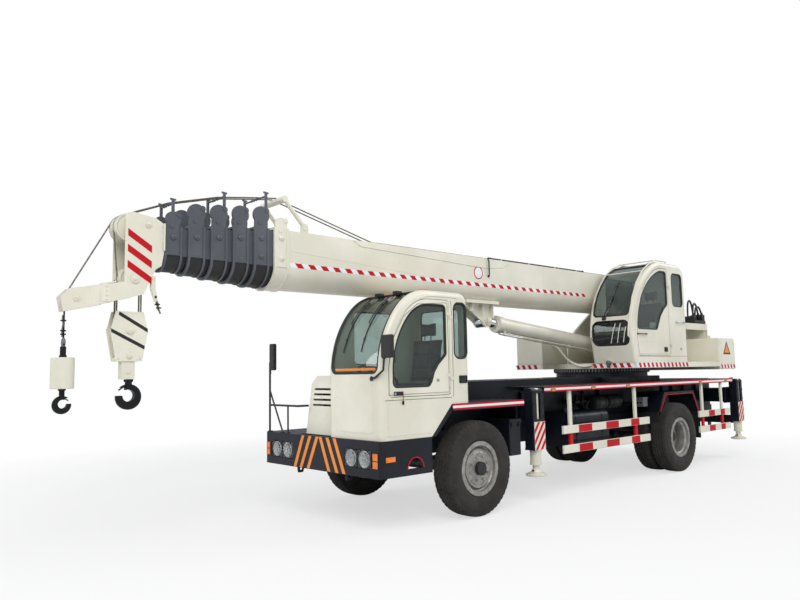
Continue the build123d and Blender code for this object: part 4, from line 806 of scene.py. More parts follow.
def softPad(name, outline, y0, y1, body, face, channels, s):
    # outline is in the drawing's x and z; face is the side that one sits on or leans on
    middle = [sum(p[i] for p in outline) / len(outline) for i in (0, 1)]
    inner = [(x - math.copysign(s["shrink"], x - middle[0]), z - math.copysign(s["shrink"], z - middle[1]))
             for x, z in outline]
    n = len(inner)
    points = [at(x, y, z) for y in (y0 + s["shrink"], y1 - s["shrink"]) for x, z in inner]
    faces = [list(range(n)), list(range(2 * n - 1, n - 1, -1))]
    faces += [[i, n + i, n + (i + 1) % n, (i + 1) % n] for i in range(n)]
    mesh = meshFrom(name, points, faces)
    work = bmesh.new()
    work.from_mesh(mesh)
    bmesh.ops.recalc_face_normals(work, faces=work.faces)
    work.to_mesh(mesh)
    work.free()
    obj = addPiece(name, mesh, "seatVinyl", body)
    remesh = obj.modifiers.new("remesh", "REMESH")
    remesh.mode = "VOXEL"
    remesh.voxel_size = s["voxel"]
    bakeModifiers(obj)
    rest = [v.co.copy() for v in obj.data.vertices]
    cloth = obj.modifiers.new("cloth", "CLOTH")
    cloth.settings.use_pressure = True
    cloth.settings.uniform_pressure_force = s["pressure"]
    cloth.settings.effector_weights.gravity = 0
    for step in range(1, s["steps"] + 1):
        bpy.context.scene.frame_set(step)
    bakeModifiers(obj)
    bpy.context.scene.frame_set(1)
    for v, start in zip(obj.data.vertices, rest):
        move = v.co - start
        if move.length > s["cap"]:
            v.co = start + move * (s["cap"] / move.length)
    smooth = obj.modifiers.new("smooth", "SUBSURF")
    smooth.levels = smooth.render_levels = 1
    bakeModifiers(obj)
    # Sewn channels run across the padded face
    face = Vector(face).normalized()
    normals = [v.normal.copy() for v in obj.data.vertices]
    for v, normal in zip(obj.data.vertices, normals):
        lean = normal.dot(face)
        if lean >= 0.35:
            dips = [math.exp(-((v.co[axis] - place) * 1000 / s["channelWidth"]) ** 2) for axis, place in channels]
            v.co -= face * (max(dips, default=0.0) * s["channelDepth"] / 1000 * min(1.0, lean))
    obj.data.shade_smooth()
    return obj


s = seatSetup
for node, body, x, y, top in s["places"]:
    seams = [(1, (y + off) / 1000) for off in (-95, 95)]
    lengthwise = [(0, at(x + off, 0, 0).x) for off in (-60, 90)]
    pads = []
    for name, outline, half, face, levels in s["pads"]:
        channels = {"cushion": seams + lengthwise, "headrest": []}.get(name, seams)
        pads.append(softPad(f"{node}_{name}", [(x + a, top + b) for a, b in outline], y - half, y + half, body, face,
                            channels + [(2, (top + off) / 1000) for off in levels], s))
    piping = Shape()
    for z in (top - 30, top - 112):
        loop = loopAt(pads[0], z / 1000)
        if len(loop) > 12:
            piping.tube([drawn(p) for p in loop[::3]], s["piping"], 8, 0, True)
    piping.done(f"{node}_piping", "seatVinyl", body, 60)
    # Foot, rubber bellows, tray, slide rails, headrest posts and side knobs
    stand = Shape()
    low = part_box(node)[0][2] * 1000
    stand.brick((x - 146, y - 146, low + 12), (x + 146, y + 146, low + 24), 3)
    rise = (top - 216 - (low + 22)) / s["folds"] / 2
    for k in range(2 * s["folds"]):
        squares = [[(x + a * r, y + b * r, low + 22 + rise * i) for a, b in ((-1, -1), (1, -1), (1, 1), (-1, 1))]
                   for i, r in ((k, 165 if k % 2 else 150), (k + 1, 150 if k % 2 else 165))]
        stand.loft(squares, 0, lids=False)
    stand.brick((x - 168, y - 172, top - 216), (x + 168, y + 172, top - 196), 3, 1)
    for off in (-130, 116):
        stand.brick((x - 172, y + off, top - 196), (x + 174, y + off + 14, top - 160), 2, 1)
        stand.brick((x - 172, y + off - 6, top - 160), (x + 174, y + off + 20, top - 141), 2, 1)
    for off in (-55, 43):
        stand.tube([(x - 250, y + off, top + 490), (x - 258, y + off, top + 545)], 6, 12, 1)
    for side in (-1, 1):
        stand.brick((x - 225, y + side * 176, top - 150), (x - 150, y + side * 190, top - 118), 3, 1)
    stand.done(f"{node}_stand", "gasketRubber forgedSteel", body, 30)
    for piece in pads:
        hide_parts(node)
print("seats sewn")

# Lamps: bowls, bulbs, lenses and their rims
lampSetup = {"places": (578, 792), "height": 712, "bowl": 76.6, "flutes": 13, "flutePitch": 10.4, "louvres": 5,
             "markers": (-1420, -2300, -3160, -5350, -6280), "stepHole": (904, 600, 109)}


def lampBowl(shape, centre, r):
    shape.turned([(0.4, r * 0.56), (19.5, r), (19.8, r * 0.985), (8, r * 0.72), (1.6, r * 0.4), (1.0, r * 0.1)],
                 centre, forward, 48)
    shape.turned([(1.0, 11), (9, 11), (10, 14), (17, 14), (20, 9), (21, 3)], centre, forward, 20, 1)
    shape.turned([(19.6, r + 7), (22.4, r + 6), (23.4, r + 3), (23, r), (19.4, r - 1)], centre, forward, 48, 2)


s = lampSetup
lamps, lenses, rear, markers, steps = (Shape() for name in range(5))
for side, tag in sides:
    for y in s["places"]:
        place = (1349.3, side * y, s["height"])
        lampBowl(lamps, place, s["bowl"])
        lenses.turned([(20.4, 75), (22, 74), (24.5, 60), (26.3, 38), (27, 15), (27.1, 3)], place, forward, 48)
        for k in range(s["flutes"]):
            off = (k - (s["flutes"] - 1) / 2) * s["flutePitch"]
            half = math.sqrt(max(0.0, 68 ** 2 - off ** 2)) * 0.92
            lenses.tube([(1375.6 - abs(off) * 0.035, side * y + off, s["height"] - half),
                         (1376.3 - abs(off) * 0.03, side * y + off, s["height"] + half)], 1.6, 6)
    for z0, z1 in ((636, 704), (711, 779)):
        lamps.brick((1369.5, side * 930, z0 - 4), (1374, side * 1007, z1 + 4), 1.5, 3)
        lamps.brick((1373, side * 934, z0), (1383, side * 1003, z1), 4, 4)
        for z in range(z0 + 10, z0 + 10 + 12 * s["louvres"], 12):
            lamps.brick((1382, side * 939, z), (1384.4, side * 998, z + 4), 0.8, 4)
    lamps.brick((1180, side * 1034, 690), (1300, side * 1043, 740), 3, 4)
    for y0, y1, slot in ((643, 727, 0), (741, 773, 1), (776, 807, 2)):
        rear.brick((-6961, side * y0, 594), (-6949.5, side * y1, 676), 3.5, slot)
        for z in range(602, 602 + 15 * s["louvres"], 15):
            rear.brick((-6962.5, side * (y0 + 4), z), (-6960, side * (y1 - 4), z + 5), 0.8, slot)
    rear.brick((-6951, side * 636, 586), (-6939.5, side * 814, 590), 1, 3)
    rear.brick((-6946, side * 838, 716), (-6939.5, side * 866, 806), 2)
    for x in s["markers"]:
        markers.brick((x - 42, side * 1040, 1290), (x + 42, side * 1047, 1318), 2.5)
        markers.brick((x - 50, side * 1043.5, 1284), (x + 50, 1040 if side > 0 else -1047, 1324), 1, 1)
    # The step holes in the bumper's sides get a red edge
    x, z, r = s["stepHole"]
    steps.tube([(x + r * math.cos(t), side * 1036, z + r * math.sin(t)) for t in (math.pi * k / 24 for k in range(25))],
               5.5, 10)
rear.brick((-6945, -230, 574), (-6939.5, 230, 688), 3, 4)
for y in (-205, 205):
    rear.bolt((-6945, y, 631), backward, 11, 5, 3)
lamps.done("headlamp_bowls", "mirrorCoating clearPolycarbonate aluminiumTrim gasketRubber amberLens", "carrier", 35)
lenses.done("headlamp_lenses", "clearPolycarbonate", "carrier", 40)
rear.done("rear_lamps", "rubyLens amberLens whiteFilm gasketRubber whiteFilm", "carrier", 35)
markers.done("side_marker_lamps", "amberLens gasketRubber", "carrier", 35)
steps.done("step_edges", "signalRedFilm", "carrier", 50)
print("lamps made")

# Driver's cab: handle, locks, seams, rivets
cabSetup = {"face": 1030.0, "panelFace": 1033.0, "seam": 2.4, "rivet": 6.5,
            "leaf": [(1240, 1335), (1240, 1600), (1178, 1885), (1030, 2118), (835, 2252), (402, 2285), (392, 1700),
                     (398, 1340), (1240, 1335)]}


def seam(shape, y, points, r, slot=3):
    shape.tube([(x, y, z) for x, z in points], r, 6, slot)


s = cabSetup
face = s["face"]
door = Shape()
door.brick((1052, face, 1326), (1178, face + 5, 1366), 2)
door.brick((1062, face + 4, 1334), (1150, face + 13, 1356), 5, 1)
door.turned([(0, 13), (6, 13), (7, 10), (7.2, 3)], (1163, face + 4, 1346), leftward, 20, 2)
door.turned([(0, 20), (5, 20), (8, 16), (9, 5)], (561, face, 1468), leftward, 24, 2)
door.turned([(8.5, 5), (14, 5), (15, 3)], (561, face, 1468), leftward, 12, 1)
seam(door, face + 0.4, s["leaf"], s["seam"])
for z in (1325, 1385, 2180, 2235):
    door.bolt((384, face + 1, z), leftward, 9, 5, 2)
door.done("driver_door_fittings", "blackFilm mouldedAbs aluminiumTrim gasketRubber", "driver_door", 40)

cab = Shape()
cab.brick((118, face - 1, 1428), (240, face + 2, 1510), 8)
cab.brick((130, face + 1, 1440), (228, face + 4, 1498), 6, 1)
cab.brick((150, face + 3, 1478), (208, face + 9, 1492), 3)
rivets = [(1250, 942 + k * 39) for k in range(9)] + [(1225 - k * 69, 1256) for k in range(12)]
for x, z in rivets + [(1225 - k * 64, 942) for k in range(9)]:
    r = s["rivet"]
    cab.turned([(0, r), (2, r), (3.6, r * 0.5)], (x, s["panelFace"], z), leftward, 12, 2)
# Seams of the sheet under the door and behind it
seam(cab, face + 0.2, [(1290, 1283), (360, 1283)], s["seam"])
seam(cab, face + 0.2, [(330, 1283), (330, 2150), (345, 2310)], s["seam"])
# Bolts round the front panel
for y, z in [(y, z) for y in (305, 450, 595, 740, 885) for z in (982, 1424)] + [
        (y, z) for z in (1092, 1203, 1314) for y in (305, 885)]:
    cab.bolt((1340, y, z), forward, 9, 4.5, 2)
# Roof marker lamps and a rain gutter over the door
for y in (300, 890):
    cab.brick((560, y - 45, 2409), (650, y + 45, 2432), 9, 4)
cab.tube([(1010, 1031, 2180), (880, 1033, 2290), (700, 1034, 2345), (380, 1034, 2352), (250, 1033, 2345)], 6, 8, 2)
cab.done("driver_cab_fittings", "blackFilm mouldedAbs ivoryEnamel gasketRubber amberLens", "carrier", 40)
print("driver's cab dressed")

# Wipers follow the curve of each screen
wiperSetup = {
    "arm": 7.0, "blade": 6.0, "spine": 4.0, "armOut": 16, "bladeOut": -7,
    # The driver's screen is two arcs: centre, radius; they meet at this turn from level
    "low": ((335.0, 1560.0), 1000.0), "high": ((671.24, 1864.88), 546.12), "meet": 42.2,
    "armTurns": (68, 62, 56, 50, 44, 38, 34, 30), "bladeTurns": (54, 50, 46, 40, 35, 30, 25, 20, 16, 12),
    "pairs": (((470, 415), (455, 395)), ((760, 705), (745, 690))),
    "operatorScreen": ((-4250, 3160), (-3690, 2830), (-3395, 1980)),
    "operatorHeights": (2290, 2380, 2460, 2540, 2620, 2700, 2780, 2860),
}


def onCircle(centre, radius, turn, out):
    t = math.radians(turn)
    return centre[0] + (radius + out) * math.cos(t), centre[1] + (radius + out) * math.sin(t)


def circleThrough(a, b, c):
    d = 2 * (a[0] * (b[1] - c[1]) + b[0] * (c[1] - a[1]) + c[0] * (a[1] - b[1]))
    x = sum((p[0] ** 2 + p[1] ** 2) * (q[1] - r[1]) for p, q, r in ((a, b, c), (b, c, a), (c, a, b))) / d
    z = sum((p[0] ** 2 + p[1] ** 2) * (r[0] - q[0]) for p, q, r in ((a, b, c), (b, c, a), (c, a, b))) / d
    return (x, z), math.dist((x, z), a)


def wiper(shape, armRun, bladeRun, armY, bladeY, s):
    # The runs are (x, z) places on the glass; y runs evenly along them
    arm, blade = ([(x, ys[0] + (ys[1] - ys[0]) * k / (len(run) - 1), z) for k, (x, z) in enumerate(run)]
                  for run, ys in ((armRun, armY), (bladeRun, bladeY)))
    shape.tube(arm, s["arm"], 8)
    shape.tube(blade, s["blade"], 8, 1)
    shape.tube([(x + 6, y, z + 4) for x, y, z in blade], s["spine"], 6)
    for k in (1, 2, 3):
        x, y, z = blade[k * len(blade) // 4]
        shape.brick((x - 6, y - 8, z - 12), (x + 13, y + 8, z + 12), 2)


s = wiperSetup
wipers = Shape()
armRun, bladeRun = ([onCircle(*s["low" if turn <= s["meet"] else "high"], turn, out) for turn in turns]
                    for turns, out in ((s["armTurns"], s["armOut"]), (s["bladeTurns"], s["bladeOut"])))
px, pz = onCircle(*s["high"], 69, 12)
for armY, bladeY in s["pairs"]:
    wiper(wipers, armRun, bladeRun, armY, bladeY, s)
    wipers.brick((px - 45, armY[0] - 35, pz - 16), (px + 35, armY[0] + 35, pz + 22), 9)
axis = (math.cos(math.radians(68)), 0, math.sin(math.radians(68)))
wipers.turned([(-6, 16), (14, 16), (18, 10), (20, 3)], (px, 470, pz), axis, 20)
wipers.done("driver_wipers", "blackFilm gasketRubber", "carrier", 40)

strip = Shape()
strip.brick((1319.5, 268, 1580), (1322.4, 926, 1604), 1)
strip.done("screen_foot_strip", "signalOrangeFilm", "carrier")

# Key strap on the driver's door handle
strap = Shape()
strap.tube([(1070, 1046, 1342), (1066, 1049, 1320), (1069, 1046, 1296), (1066, 1044, 1272)], 3.2, 8)
strap.brick((1054, 1041, 1236), (1078, 1046, 1272), 2, 1)
strap.done("door_key_strap", "signalRedFilm forgedSteel", "driver_door", 40)

# Mirror glass, facing back, and the clamps on the arms
mirrors = Shape()
for y0, y1, z0, z1 in ((-992, -916, 1618, 1905), (1054, 1186, 1710, 1910)):
    mirrors.brick((1303, y0, z0), (1306.6, y1, z1), 1.2)
    mirrors.brick((1305, y0 - 4, z0 - 4), (1307, y1 + 4, z1 + 4), 0.8, 1)
mirrors.tube([(1346, 905, 1500), (1340, 880, 1498)], 15, 16, 1)
mirrors.turned([(0, 24), (8, 24), (12, 17)], (1335.5, 884, 1499), forward, 24, 1)
mirrors.brick((1330, 1068, 1686), (1352, 1094, 1712), 4, 1)
mirrors.done("mirror_faces", "mirrorGlass blackFilm", "carrier", 40)

# Inside the driver's cab: instrument hood, dials, gear lever, pedals
inside = Shape()
inside.brick((1120, 470, 1478), (1240, 720, 1535), 14)
for y in (520, 595, 670):
    inside.turned([(0, 30), (3, 30), (4, 26)], (1121, y, 1508), backward, 32, 1)
    inside.turned([(3.2, 25), (3.8, 25)], (1121, y, 1508), backward, 32, 2)
inside.tube([(820, 330, 955), (840, 330, 1180), (900, 334, 1300)], 8, 10, 1)
inside.turned([(-18, 12), (-8, 22), (6, 24), (18, 16), (24, 5)], (905, 334, 1312), (0.3, 0, 0.95), 20)
inside.turned([(0, 70), (30, 58), (34, 44), (64, 34), (68, 22), (90, 14)], (820, 330, 938), (0.05, 0, 1), 24)
for y in (500, 600, 700):
    inside.brick((1040, y - 26, 990), (1062, y + 26, 1075), 4)
    inside.tube([(1062, y, 1030), (1125, y, 1080)], 8, 8, 1)
inside.done("driver_controls", "mouldedAbs forgedSteel whiteFilm", "carrier", 35)

# Operator's cab: handle, locks, pressed lines, wiper, guard bars, controls
opSetup = {"face": 1020.0, "seam": 2.6, "thinSeam": 1.8, "pane": -3398,
           "leaf": [(-3545, 1790), (-3520, 2000), (-3540, 2210), (-3660, 2570), (-3830, 2830), (-4060, 3010),
                    (-4260, 3060), (-4440, 3060), (-4470, 3030), (-4470, 1760), (-3570, 1750), (-3545, 1790)],
           "bars": (((666, 1938), (745, 2190)), ((770, 1941), (828, 2188)), ((867, 1947), (914, 2138)))}


def gripHandle(shape, x0, x1, z, s):
    # A bent bar on two feet
    y, stand, r = s["face"], 24, 8
    shape.tube([(x0, y - 1, z), (x0, y + stand * 0.6, z), (x0 + 12, y + stand, z), (x1 - 12, y + stand, z),
                (x1, y + stand * 0.6, z), (x1, y - 1, z)], r, 12, 1)
    for x in (x0, x1):
        shape.turned([(0, r * 2.1), (3, r * 2.1), (5, r * 1.5)], (x, y - 1, z), leftward, 20, 1)


s = opSetup
face = s["face"]
door = Shape()
gripHandle(door, -3768, -3530, 2045, s)
door.brick((-4385, face, 1790), (-4285, face + 4, 1860), 6, 1)
door.brick((-4372, face + 3, 1802), (-4298, face + 12, 1848), 6)
seam(door, face + 0.5, [(-3550, 1937), (-4201, 1947), (-4405, 2345), (-4494, 2362)], s["seam"], 2)
seam(door, face + 0.3, s["leaf"], s["thinSeam"])
door.done("operator_door_fittings", "mouldedAbs blackFilm ivoryEnamel gasketRubber", "operator_door", 40)

cab = Shape()
seam(cab, face + 0.5, [(-4508, 2365), (-4857, 2445), (-5020, 2452)], s["seam"], 2)
cab.turned([(0, 22), (5, 22), (8, 17), (9, 6)], (-4810, face, 1836), leftward, 24, 1)
cab.turned([(8, 6), (13, 6), (14, 3)], (-4810, face, 1836), leftward, 12, 4)
seam(cab, face + 0.3, [(-3500, 1722), (-5010, 1722)], s["thinSeam"])
gripHandle(cab, -4960, -4700, 2250, s)
centre, radius = circleThrough(*wiperSetup["operatorScreen"])
turns = [math.degrees(math.asin((z - centre[1]) / radius)) for z in wiperSetup["operatorHeights"]]
wiper(cab, [onCircle(centre, radius, t, 15) for t in turns[:5]], [onCircle(centre, radius, t, -7) for t in turns[1:]],
      (560, 640), (600, 665), wiperSetup)
px, pz = onCircle(centre, radius, turns[0], 8)
cab.brick((px - 22, 530, pz - 28), (px + 14, 590, pz + 28), 8)
for (y0, z0), (y1, z1) in s["bars"]:
    cab.tube([(s["pane"] + 4, y0, z0 - 20), (s["pane"] + 10, (y0 + y1) / 2, (z0 + z1) / 2),
              (s["pane"] - 2, y1, z1 + 16)], 6, 8, 2)
# Painted shade: the low pane is backed by a black sheet that stands in for the shaded cab interior behind it
cab.brick((-3452, 344, 1874), (-3446, 978, 2258), 2, 3)
# Work lamp under the low pane, and its bracket
lampPlace, lampAxis = (-3428, 588, 1632), (1, 0, -0.25)
cab.turned([(-46, 12), (-44, 26), (-20, 38), (0, 42), (4, 42), (4, 37), (-3, 36), (-24, 22), (-30, 6)],
           lampPlace, lampAxis, 32, 1)
cab.turned([(-1, 36), (2, 34), (4, 20), (4.4, 3)], lampPlace, lampAxis, 32, 1)
cab.brick((-3482, 574, 1606), (-3462, 602, 1634), 3, 1)
# Amber beacon on its base
cab.turned([(0, 62), (10, 60), (14, 50)], (-4820, 560, 3158), upward, 32, 1)
cab.turned([(13, 48), (20, 52), (62, 50), (84, 42), (94, 24), (98, 4)], (-4820, 560, 3158), upward, 32, 6)
cab.done("operator_cab_fittings",
         "blackFilm aluminiumTrim ivoryEnamel gasketRubber forgedSteel mirrorCoating amberLens", "superstructure", 40)

controls = Shape()
for y0, y1 in ((345, 412), (912, 976)):
    controls.brick((-4480, y0, 1672), (-4060, y1, 2230), 14)
    controls.brick((-4480, y0 - 2, 2225), (-4160, y1 + 2, 2262), 12, 1)
    y = (y0 + y1) / 2
    controls.turned([(0, 30), (14, 28), (18, 22), (34, 20), (38, 14), (54, 10)], (-4110, y, 2228), (0.1, 0, 1), 24, 1)
    controls.tube([(-4108, y, 2240), (-4098, y, 2350)], 7, 10, 2)
    controls.turned([(0, 12), (8, 20), (40, 22), (62, 17), (70, 6)], (-4098, y, 2345), (0.1, 0, 1), 20, 1)
for y in (560, 661, 762):
    controls.brick((-3720, y - 30, 1700), (-3700, y + 30, 1800), 5, 1)
    controls.tube([(-3702, y, 1750), (-3640, y, 1690)], 9, 8, 2)
controls.brick((-3640, 520, 1980), (-3560, 700, 2110), 12, 1)
controls.tube([(-3590, 610, 1690), (-3600, 610, 1985)], 16, 12, 2)
controls.brick((-3643, 536, 1996), (-3640.5, 684, 2094), 1, 3)
controls.done("operator_controls", "ivoryEnamel mouldedAbs forgedSteel mirrorGlass", "superstructure", 35)
print("operator's cab dressed")

# Boom: side plates, pressed lines, blank signs, pipe, wear-pad bolts
s = boomSetup
boomSide, sign = Shape(), Shape()
plate = [(1035, 3012), (938, 2957), (-1126, 2892), (-1496, 2923), (-1620, 2985), (-1640, 3012)]
pressed = [(1850, 2809), (1617, 2796), (600, 2738), (-250, 2692)]
for side, tag in sides:
    y = s["halfWidth"]
    boomSide.film(onSide(y, side, plate[::-1]), 5.0)
    boomSide.tube([(x, side * (y + 4), z) for x, z in plate[:-1]], 3.4, 8)
    boomSide.tube([(x, side * (y + 0.6), z) for x, z in pressed], 2.2, 6)
    for x in (-5100, -2400):
        boomSide.tube([(x, side * (y + 0.4), 2700), (x, side * (y + 0.4), 3010)], 2.4, 6)
    sign.turned([(0, 84), (1.6, 84), (1.8, 82)], (-1010, side * y, 2817), (0, side, 0), 48)
    sign.turned([(1.2, 70), (2.4, 70), (2.6, 68)], (-1010, side * y, 2817), (0, side, 0), 48, 1)
boomSide.done("boom_side_plates", "ivoryEnamel", "boom_base", 40)
sign.done("boom_blank_signs", "signalRedFilm whiteFilm", "boom_base", 40)

pipes = Shape()
pipes.tube([(-1203, 243, 2788), (-1203, 262, 2800), (-1201, 263, 2990), (-1196, 250, 3026), (-1230, 226, 3036),
            (-1300, 216, 3036), (-3300, 214, 3036), (-3420, 214, 3034)], 9)
for x in (-1500, -2100, -2700, -3250):
    pipes.brick((x - 12, 196, 3018.5), (x + 12, 232, 3024), 1, 1)
    pipes.brick((x - 10, 203, 3023), (x + 10, 225, 3047), 4, 1)
pipes.turned([(0, 17), (22, 17), (24, 13)], (-3415, 214, 3034), backward, 6, 2)
pipes.turned([(-8, 15), (14, 15), (16, 11)], (-1203, 246, 2786), (0, 0.6, 0.8), 6, 2)
pipes.done("boom_pipe", "blackFilm ivoryEnamel forgedSteel", "boom_base", 40)

sections = ["boom_base"] + [f"boom_section_{n}" for n in range(2, 7)]
for n, body in enumerate(sections):
    bolts = Shape()
    x = s["front"] + n * s["pitch"] - 85
    halfWidth = s["halfWidth"] - n * s["stepY"]
    top = s["height"] + s["halfHeight"] - n * s["stepZ"]
    for side, tag in sides:
        for z in [s["height"] + 207 - 20 * n] + ([s["height"]] if n < 2 else []):
            bolts.turned([(0, 25), (5, 25), (9, 21), (11, 12)], (x, side * (halfWidth + 15.5), z), (0, side, 0), 28)
            bolts.bolt((x, side * (halfWidth + 26), z), (0, side, 0), 15, 7, 0, False)
        bolts.bolt((x, side * halfWidth * 0.62, top + 8), upward, 17, 9)
    bolts.done(f"wear_pad_bolts_{n}", "greyEnamel" if n else "ivoryEnamel", body, 40)
print("boom dressed")

# Steel ropes: drum windings, the run along the boom, the falls at the head
ropeSetup = {
    "r": 7.0, "drums": (("main", -5950.0), ("second", -5250.0)), "drumR": 130.0, "turns": 27, "drumHeight": 1940,
    "rises": (("main", 40.0, (-6086.0, 1950.0)), ("second", -40.0, (-6112.0, 2168.0))),    # y, then where each starts
    "tail": (-5792.0, 3060.0), "tailEnd": -5700, "steps": 40,
    "rollers": [(-5770.0, 3046.0), (-3000.0, 3043.0), (-900.0, 3043.0), (620.0, 3043.0)],
    "guides": {1: (2129.0, 3346.0), 3: (2567.0, 3283.0), 5: (3064.0, 3152.0)},
    "stops": [(1907.0, 3391.0), (2129.0, 3364.0), (2348.0, 3332.5), (2567.0, 3301.0), (2815.5, 3235.5),
              (3064.0, 3170.0)], "runSteps": 16,
    # Sheaves as x, z and radius, and the turn at which a rope lands on the top one
    "topSheave": (3435.0, 2885.0, 126.0), "headSheave": (3412.0, 2420.0, 107.0), "noseSheave": (3868.2, 2235.0, 74.0),
    "landing": math.radians(71), "fallR": 7.7,
}
s = ropeSetup
ropeR = s["r"]


def tangentRun(a, b):
    # Where a rope leaves circle a and meets circle b on their front side; each is (x, z, radius)
    heading = math.atan2(b[1] - a[1], b[0] - a[0])
    turn = heading + math.acos((a[2] - b[2]) / math.dist(a[:2], b[:2]))
    return turn, (b[0] + b[2] * math.cos(turn), b[1] + b[2] * math.sin(turn))


def arcRun(c, y, first, last, count=14):
    return [(c[0] + c[2] * math.cos(t), y, c[1] + c[2] * math.sin(t))
            for t in (first + (last - first) * k / count for k in range(count + 1))]


def ropes(shape, paths, r=ropeR):
    for path in paths:
        shape.tube(path, r)
    return shape


for tag, x in s["drums"]:
    profile = [(-199, 128)]
    for k in range(s["turns"]):
        y = -196 + (k + 0.5) * 392 / s["turns"]
        for off in (step / 2.4 for step in range(-2, 3)):
            profile.append((y + off * ropeR, s["drumR"] + ropeR * (1 + math.sqrt(max(0.0, 1 - off * off))) - 3))
    wound = Shape()
    wound.turned(profile + [(199, 128)], (x, 0, s["drumHeight"]), leftward, 56)
    wound.done(f"drum_rope_{tag}", "steelRope", "superstructure", 50)
    rims = Shape()
    for side, name in sides:
        for a, b in around(8, 88, 0.5):
            rims.bolt((x + a, side * 237, s["drumHeight"] + b), (0, side, 0), 17, 10)
    rims.done(f"drum_bolts_{tag}", "forgedSteel", "superstructure", 40)

tail = s["tail"]
for tag, y, start in s["rises"]:
    first, last = (start[0], y, start[1]), (tail[0], y, tail[1])
    obj = ropes(Shape(), [evenly(first, last, s["steps"])]).done(f"winch_rope_{tag}", "steelRope", None, 50)
    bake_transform(obj)
back = ropes(Shape(), [[(-5250, -40, 2080), (-6095, -40, 2140)],
                       [(-6095, -40, 2140), (-6107, -40, 2150), (-6112, -40, 2168)]])
back.done("winch_rope_back", "steelRope", "superstructure", 50)
roller = Shape()
roller.tube([(-6085, -266, 2168), (-6085, 266, 2168)], 10, 16)
roller.turned([(-70, 24), (-66, 18), (-16, 18), (-12, 24)], (-6085, 0, 2168), leftward, 28)
roller.done("deflector_roller", "forgedSteel", "superstructure", 40)

# Rollers on the boom's back, cross bars between the guides, and the ropes over them
stands = Shape()
for x, z in s["rollers"]:
    onTail = x < s["tailEnd"]
    for y in (-92, 92):
        stands.brick((x - 28, y - 5, 3008 if onTail else 3018), (x + 28, y + 5, z + 14), 3)
    if not onTail:
        stands.brick((x - 34, -104, 3018.5), (x + 34, 104, 3025), 2)
    stands.turned([(-88, 15), (88, 15)], (x, 0, z), leftward, 24, 1)
    for y in (-40, 40):
        stands.turned([(y - 16, 21), (y - 12, 15.5), (y + 12, 15.5), (y + 16, 21)], (x, 0, z), leftward, 24, 1)
for y in (-87, 87):
    stands.brick((-5799, y - 5, 2985), (-5750.5, y + 5, 3052), 2)
stands.done("rope_rollers", "ivoryEnamel forgedSteel", "boom_base", 40)
for n, (x, z) in s["guides"].items():
    bar = Shape()
    half = 240 - 20 * n - 8
    bar.turned([(-half, 9), (half, 9)], (x, 0, z), leftward, 20)
    for y in (-46, 46):
        bar.turned([(y - 20, 14), (y - 16, 10), (y + 16, 10), (y + 20, 14)], (x, 0, z), leftward, 24)
    bar.done(f"guide_bar_{n}", "greyEnamel", sections[n], 40)
overBoom = [tail] + [(x, z + 22.5) for x, z in s["rollers"]] + s["stops"][:1]
onBase = ropes(Shape(), [[(x, y, z) for x, z in overBoom] for y in (40, -40)])
onBase.done("boom_ropes", "steelRope", "boom_base", 50)

# Between the sections, one straight length of rope for each gap, fixed to no body
for k, ((x0, z0), (x1, z1)) in enumerate(zip(s["stops"], s["stops"][1:])):
    run = ropes(Shape(), [evenly((x0, y, z0), (x1, y, z1), s["runSteps"]) for y in (40, -40)])
    obj = run.done(f"rope_run_{k + 1}", "steelRope", None, 50)
    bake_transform(obj)

top, landing = s["topSheave"], s["landing"]
turn, meet = tangentRun(top, s["headSheave"])
noseTurn = tangentRun(top, s["noseSheave"])[0]
falls = ropes(Shape(), [
    [(3064, 40, 3170)] + arcRun(top, 25, landing, turn) + [(meet[0], 25, meet[1])],
    [(3064, -40, 3170)] + arcRun(top, -70, landing, noseTurn) + arcRun(s["noseSheave"], 0, noseTurn, 0.0, 8),
    # The leads onto the head sheaves bend aside, clear of the falls when the block swings
    [(3301, -25, 2420), (3301, -25, 2462), (3301, -48, 2515), (3300, -48, 2600)],
    [(3305, 25, 2420), (3305, 25, 2462), (3305, 48, 2515), (3305, 48, 2560)]])
falls.done("head_ropes", "steelRope", "boom_section_6", 50)
# Rope's end in its wedge socket, under the head's rear corner
socket = Shape()
socket.brick((3216, 112, 2330), (3262, 134, 2452), 5)
socket.tube([(3239, 96, 2440), (3239, 140, 2440)], 17, 16)
socket.tube([(3236, 118, 2345), (3222, 118, 2290), (3206, 118, 2228)], [26, 24, 15], 8)
socket.tube([(3216, 92, 2268), (3216, 144, 2268)], 11, 12, 1)
socket.done("rope_socket", "ivoryEnamel forgedSteel", "boom_section_6", 40)
tailEnd = Shape()
tailEnd.tube([(3206, 118, 2240), (3196, 118, 2200), (3178, 116, 2160), (3160, 112, 2122)], ropeR + 0.5)
tailEnd.tube([(3200, 128, 2236), (3186, 132, 2192), (3190, 126, 2150)], ropeR - 1)
for x, z in ((3197, 2204), (3184, 2172)):
    tailEnd.brick((x - 15, 103, z - 6), (x + 15, 141, z + 6), 2.5, 1)
    for y in (110, 134):
        tailEnd.bolt((x - 15, y, z), backward, 10, 8, 1, False)
tailEnd.done("rope_tail", "steelRope forgedSteel", "boom_section_6", 45)
# Sleeves that show the falls of the block as wire rope
x, z, r = s["headSheave"]
falls = [[(x + side * r, y, 1992), (x + side * r, y, z)] for y in (-25, 25) for side, tag in sides]
sleeves = ropes(Shape(), falls, s["fallR"])
sleeves.done("block_falls", "steelRope", "hook_block", 50)

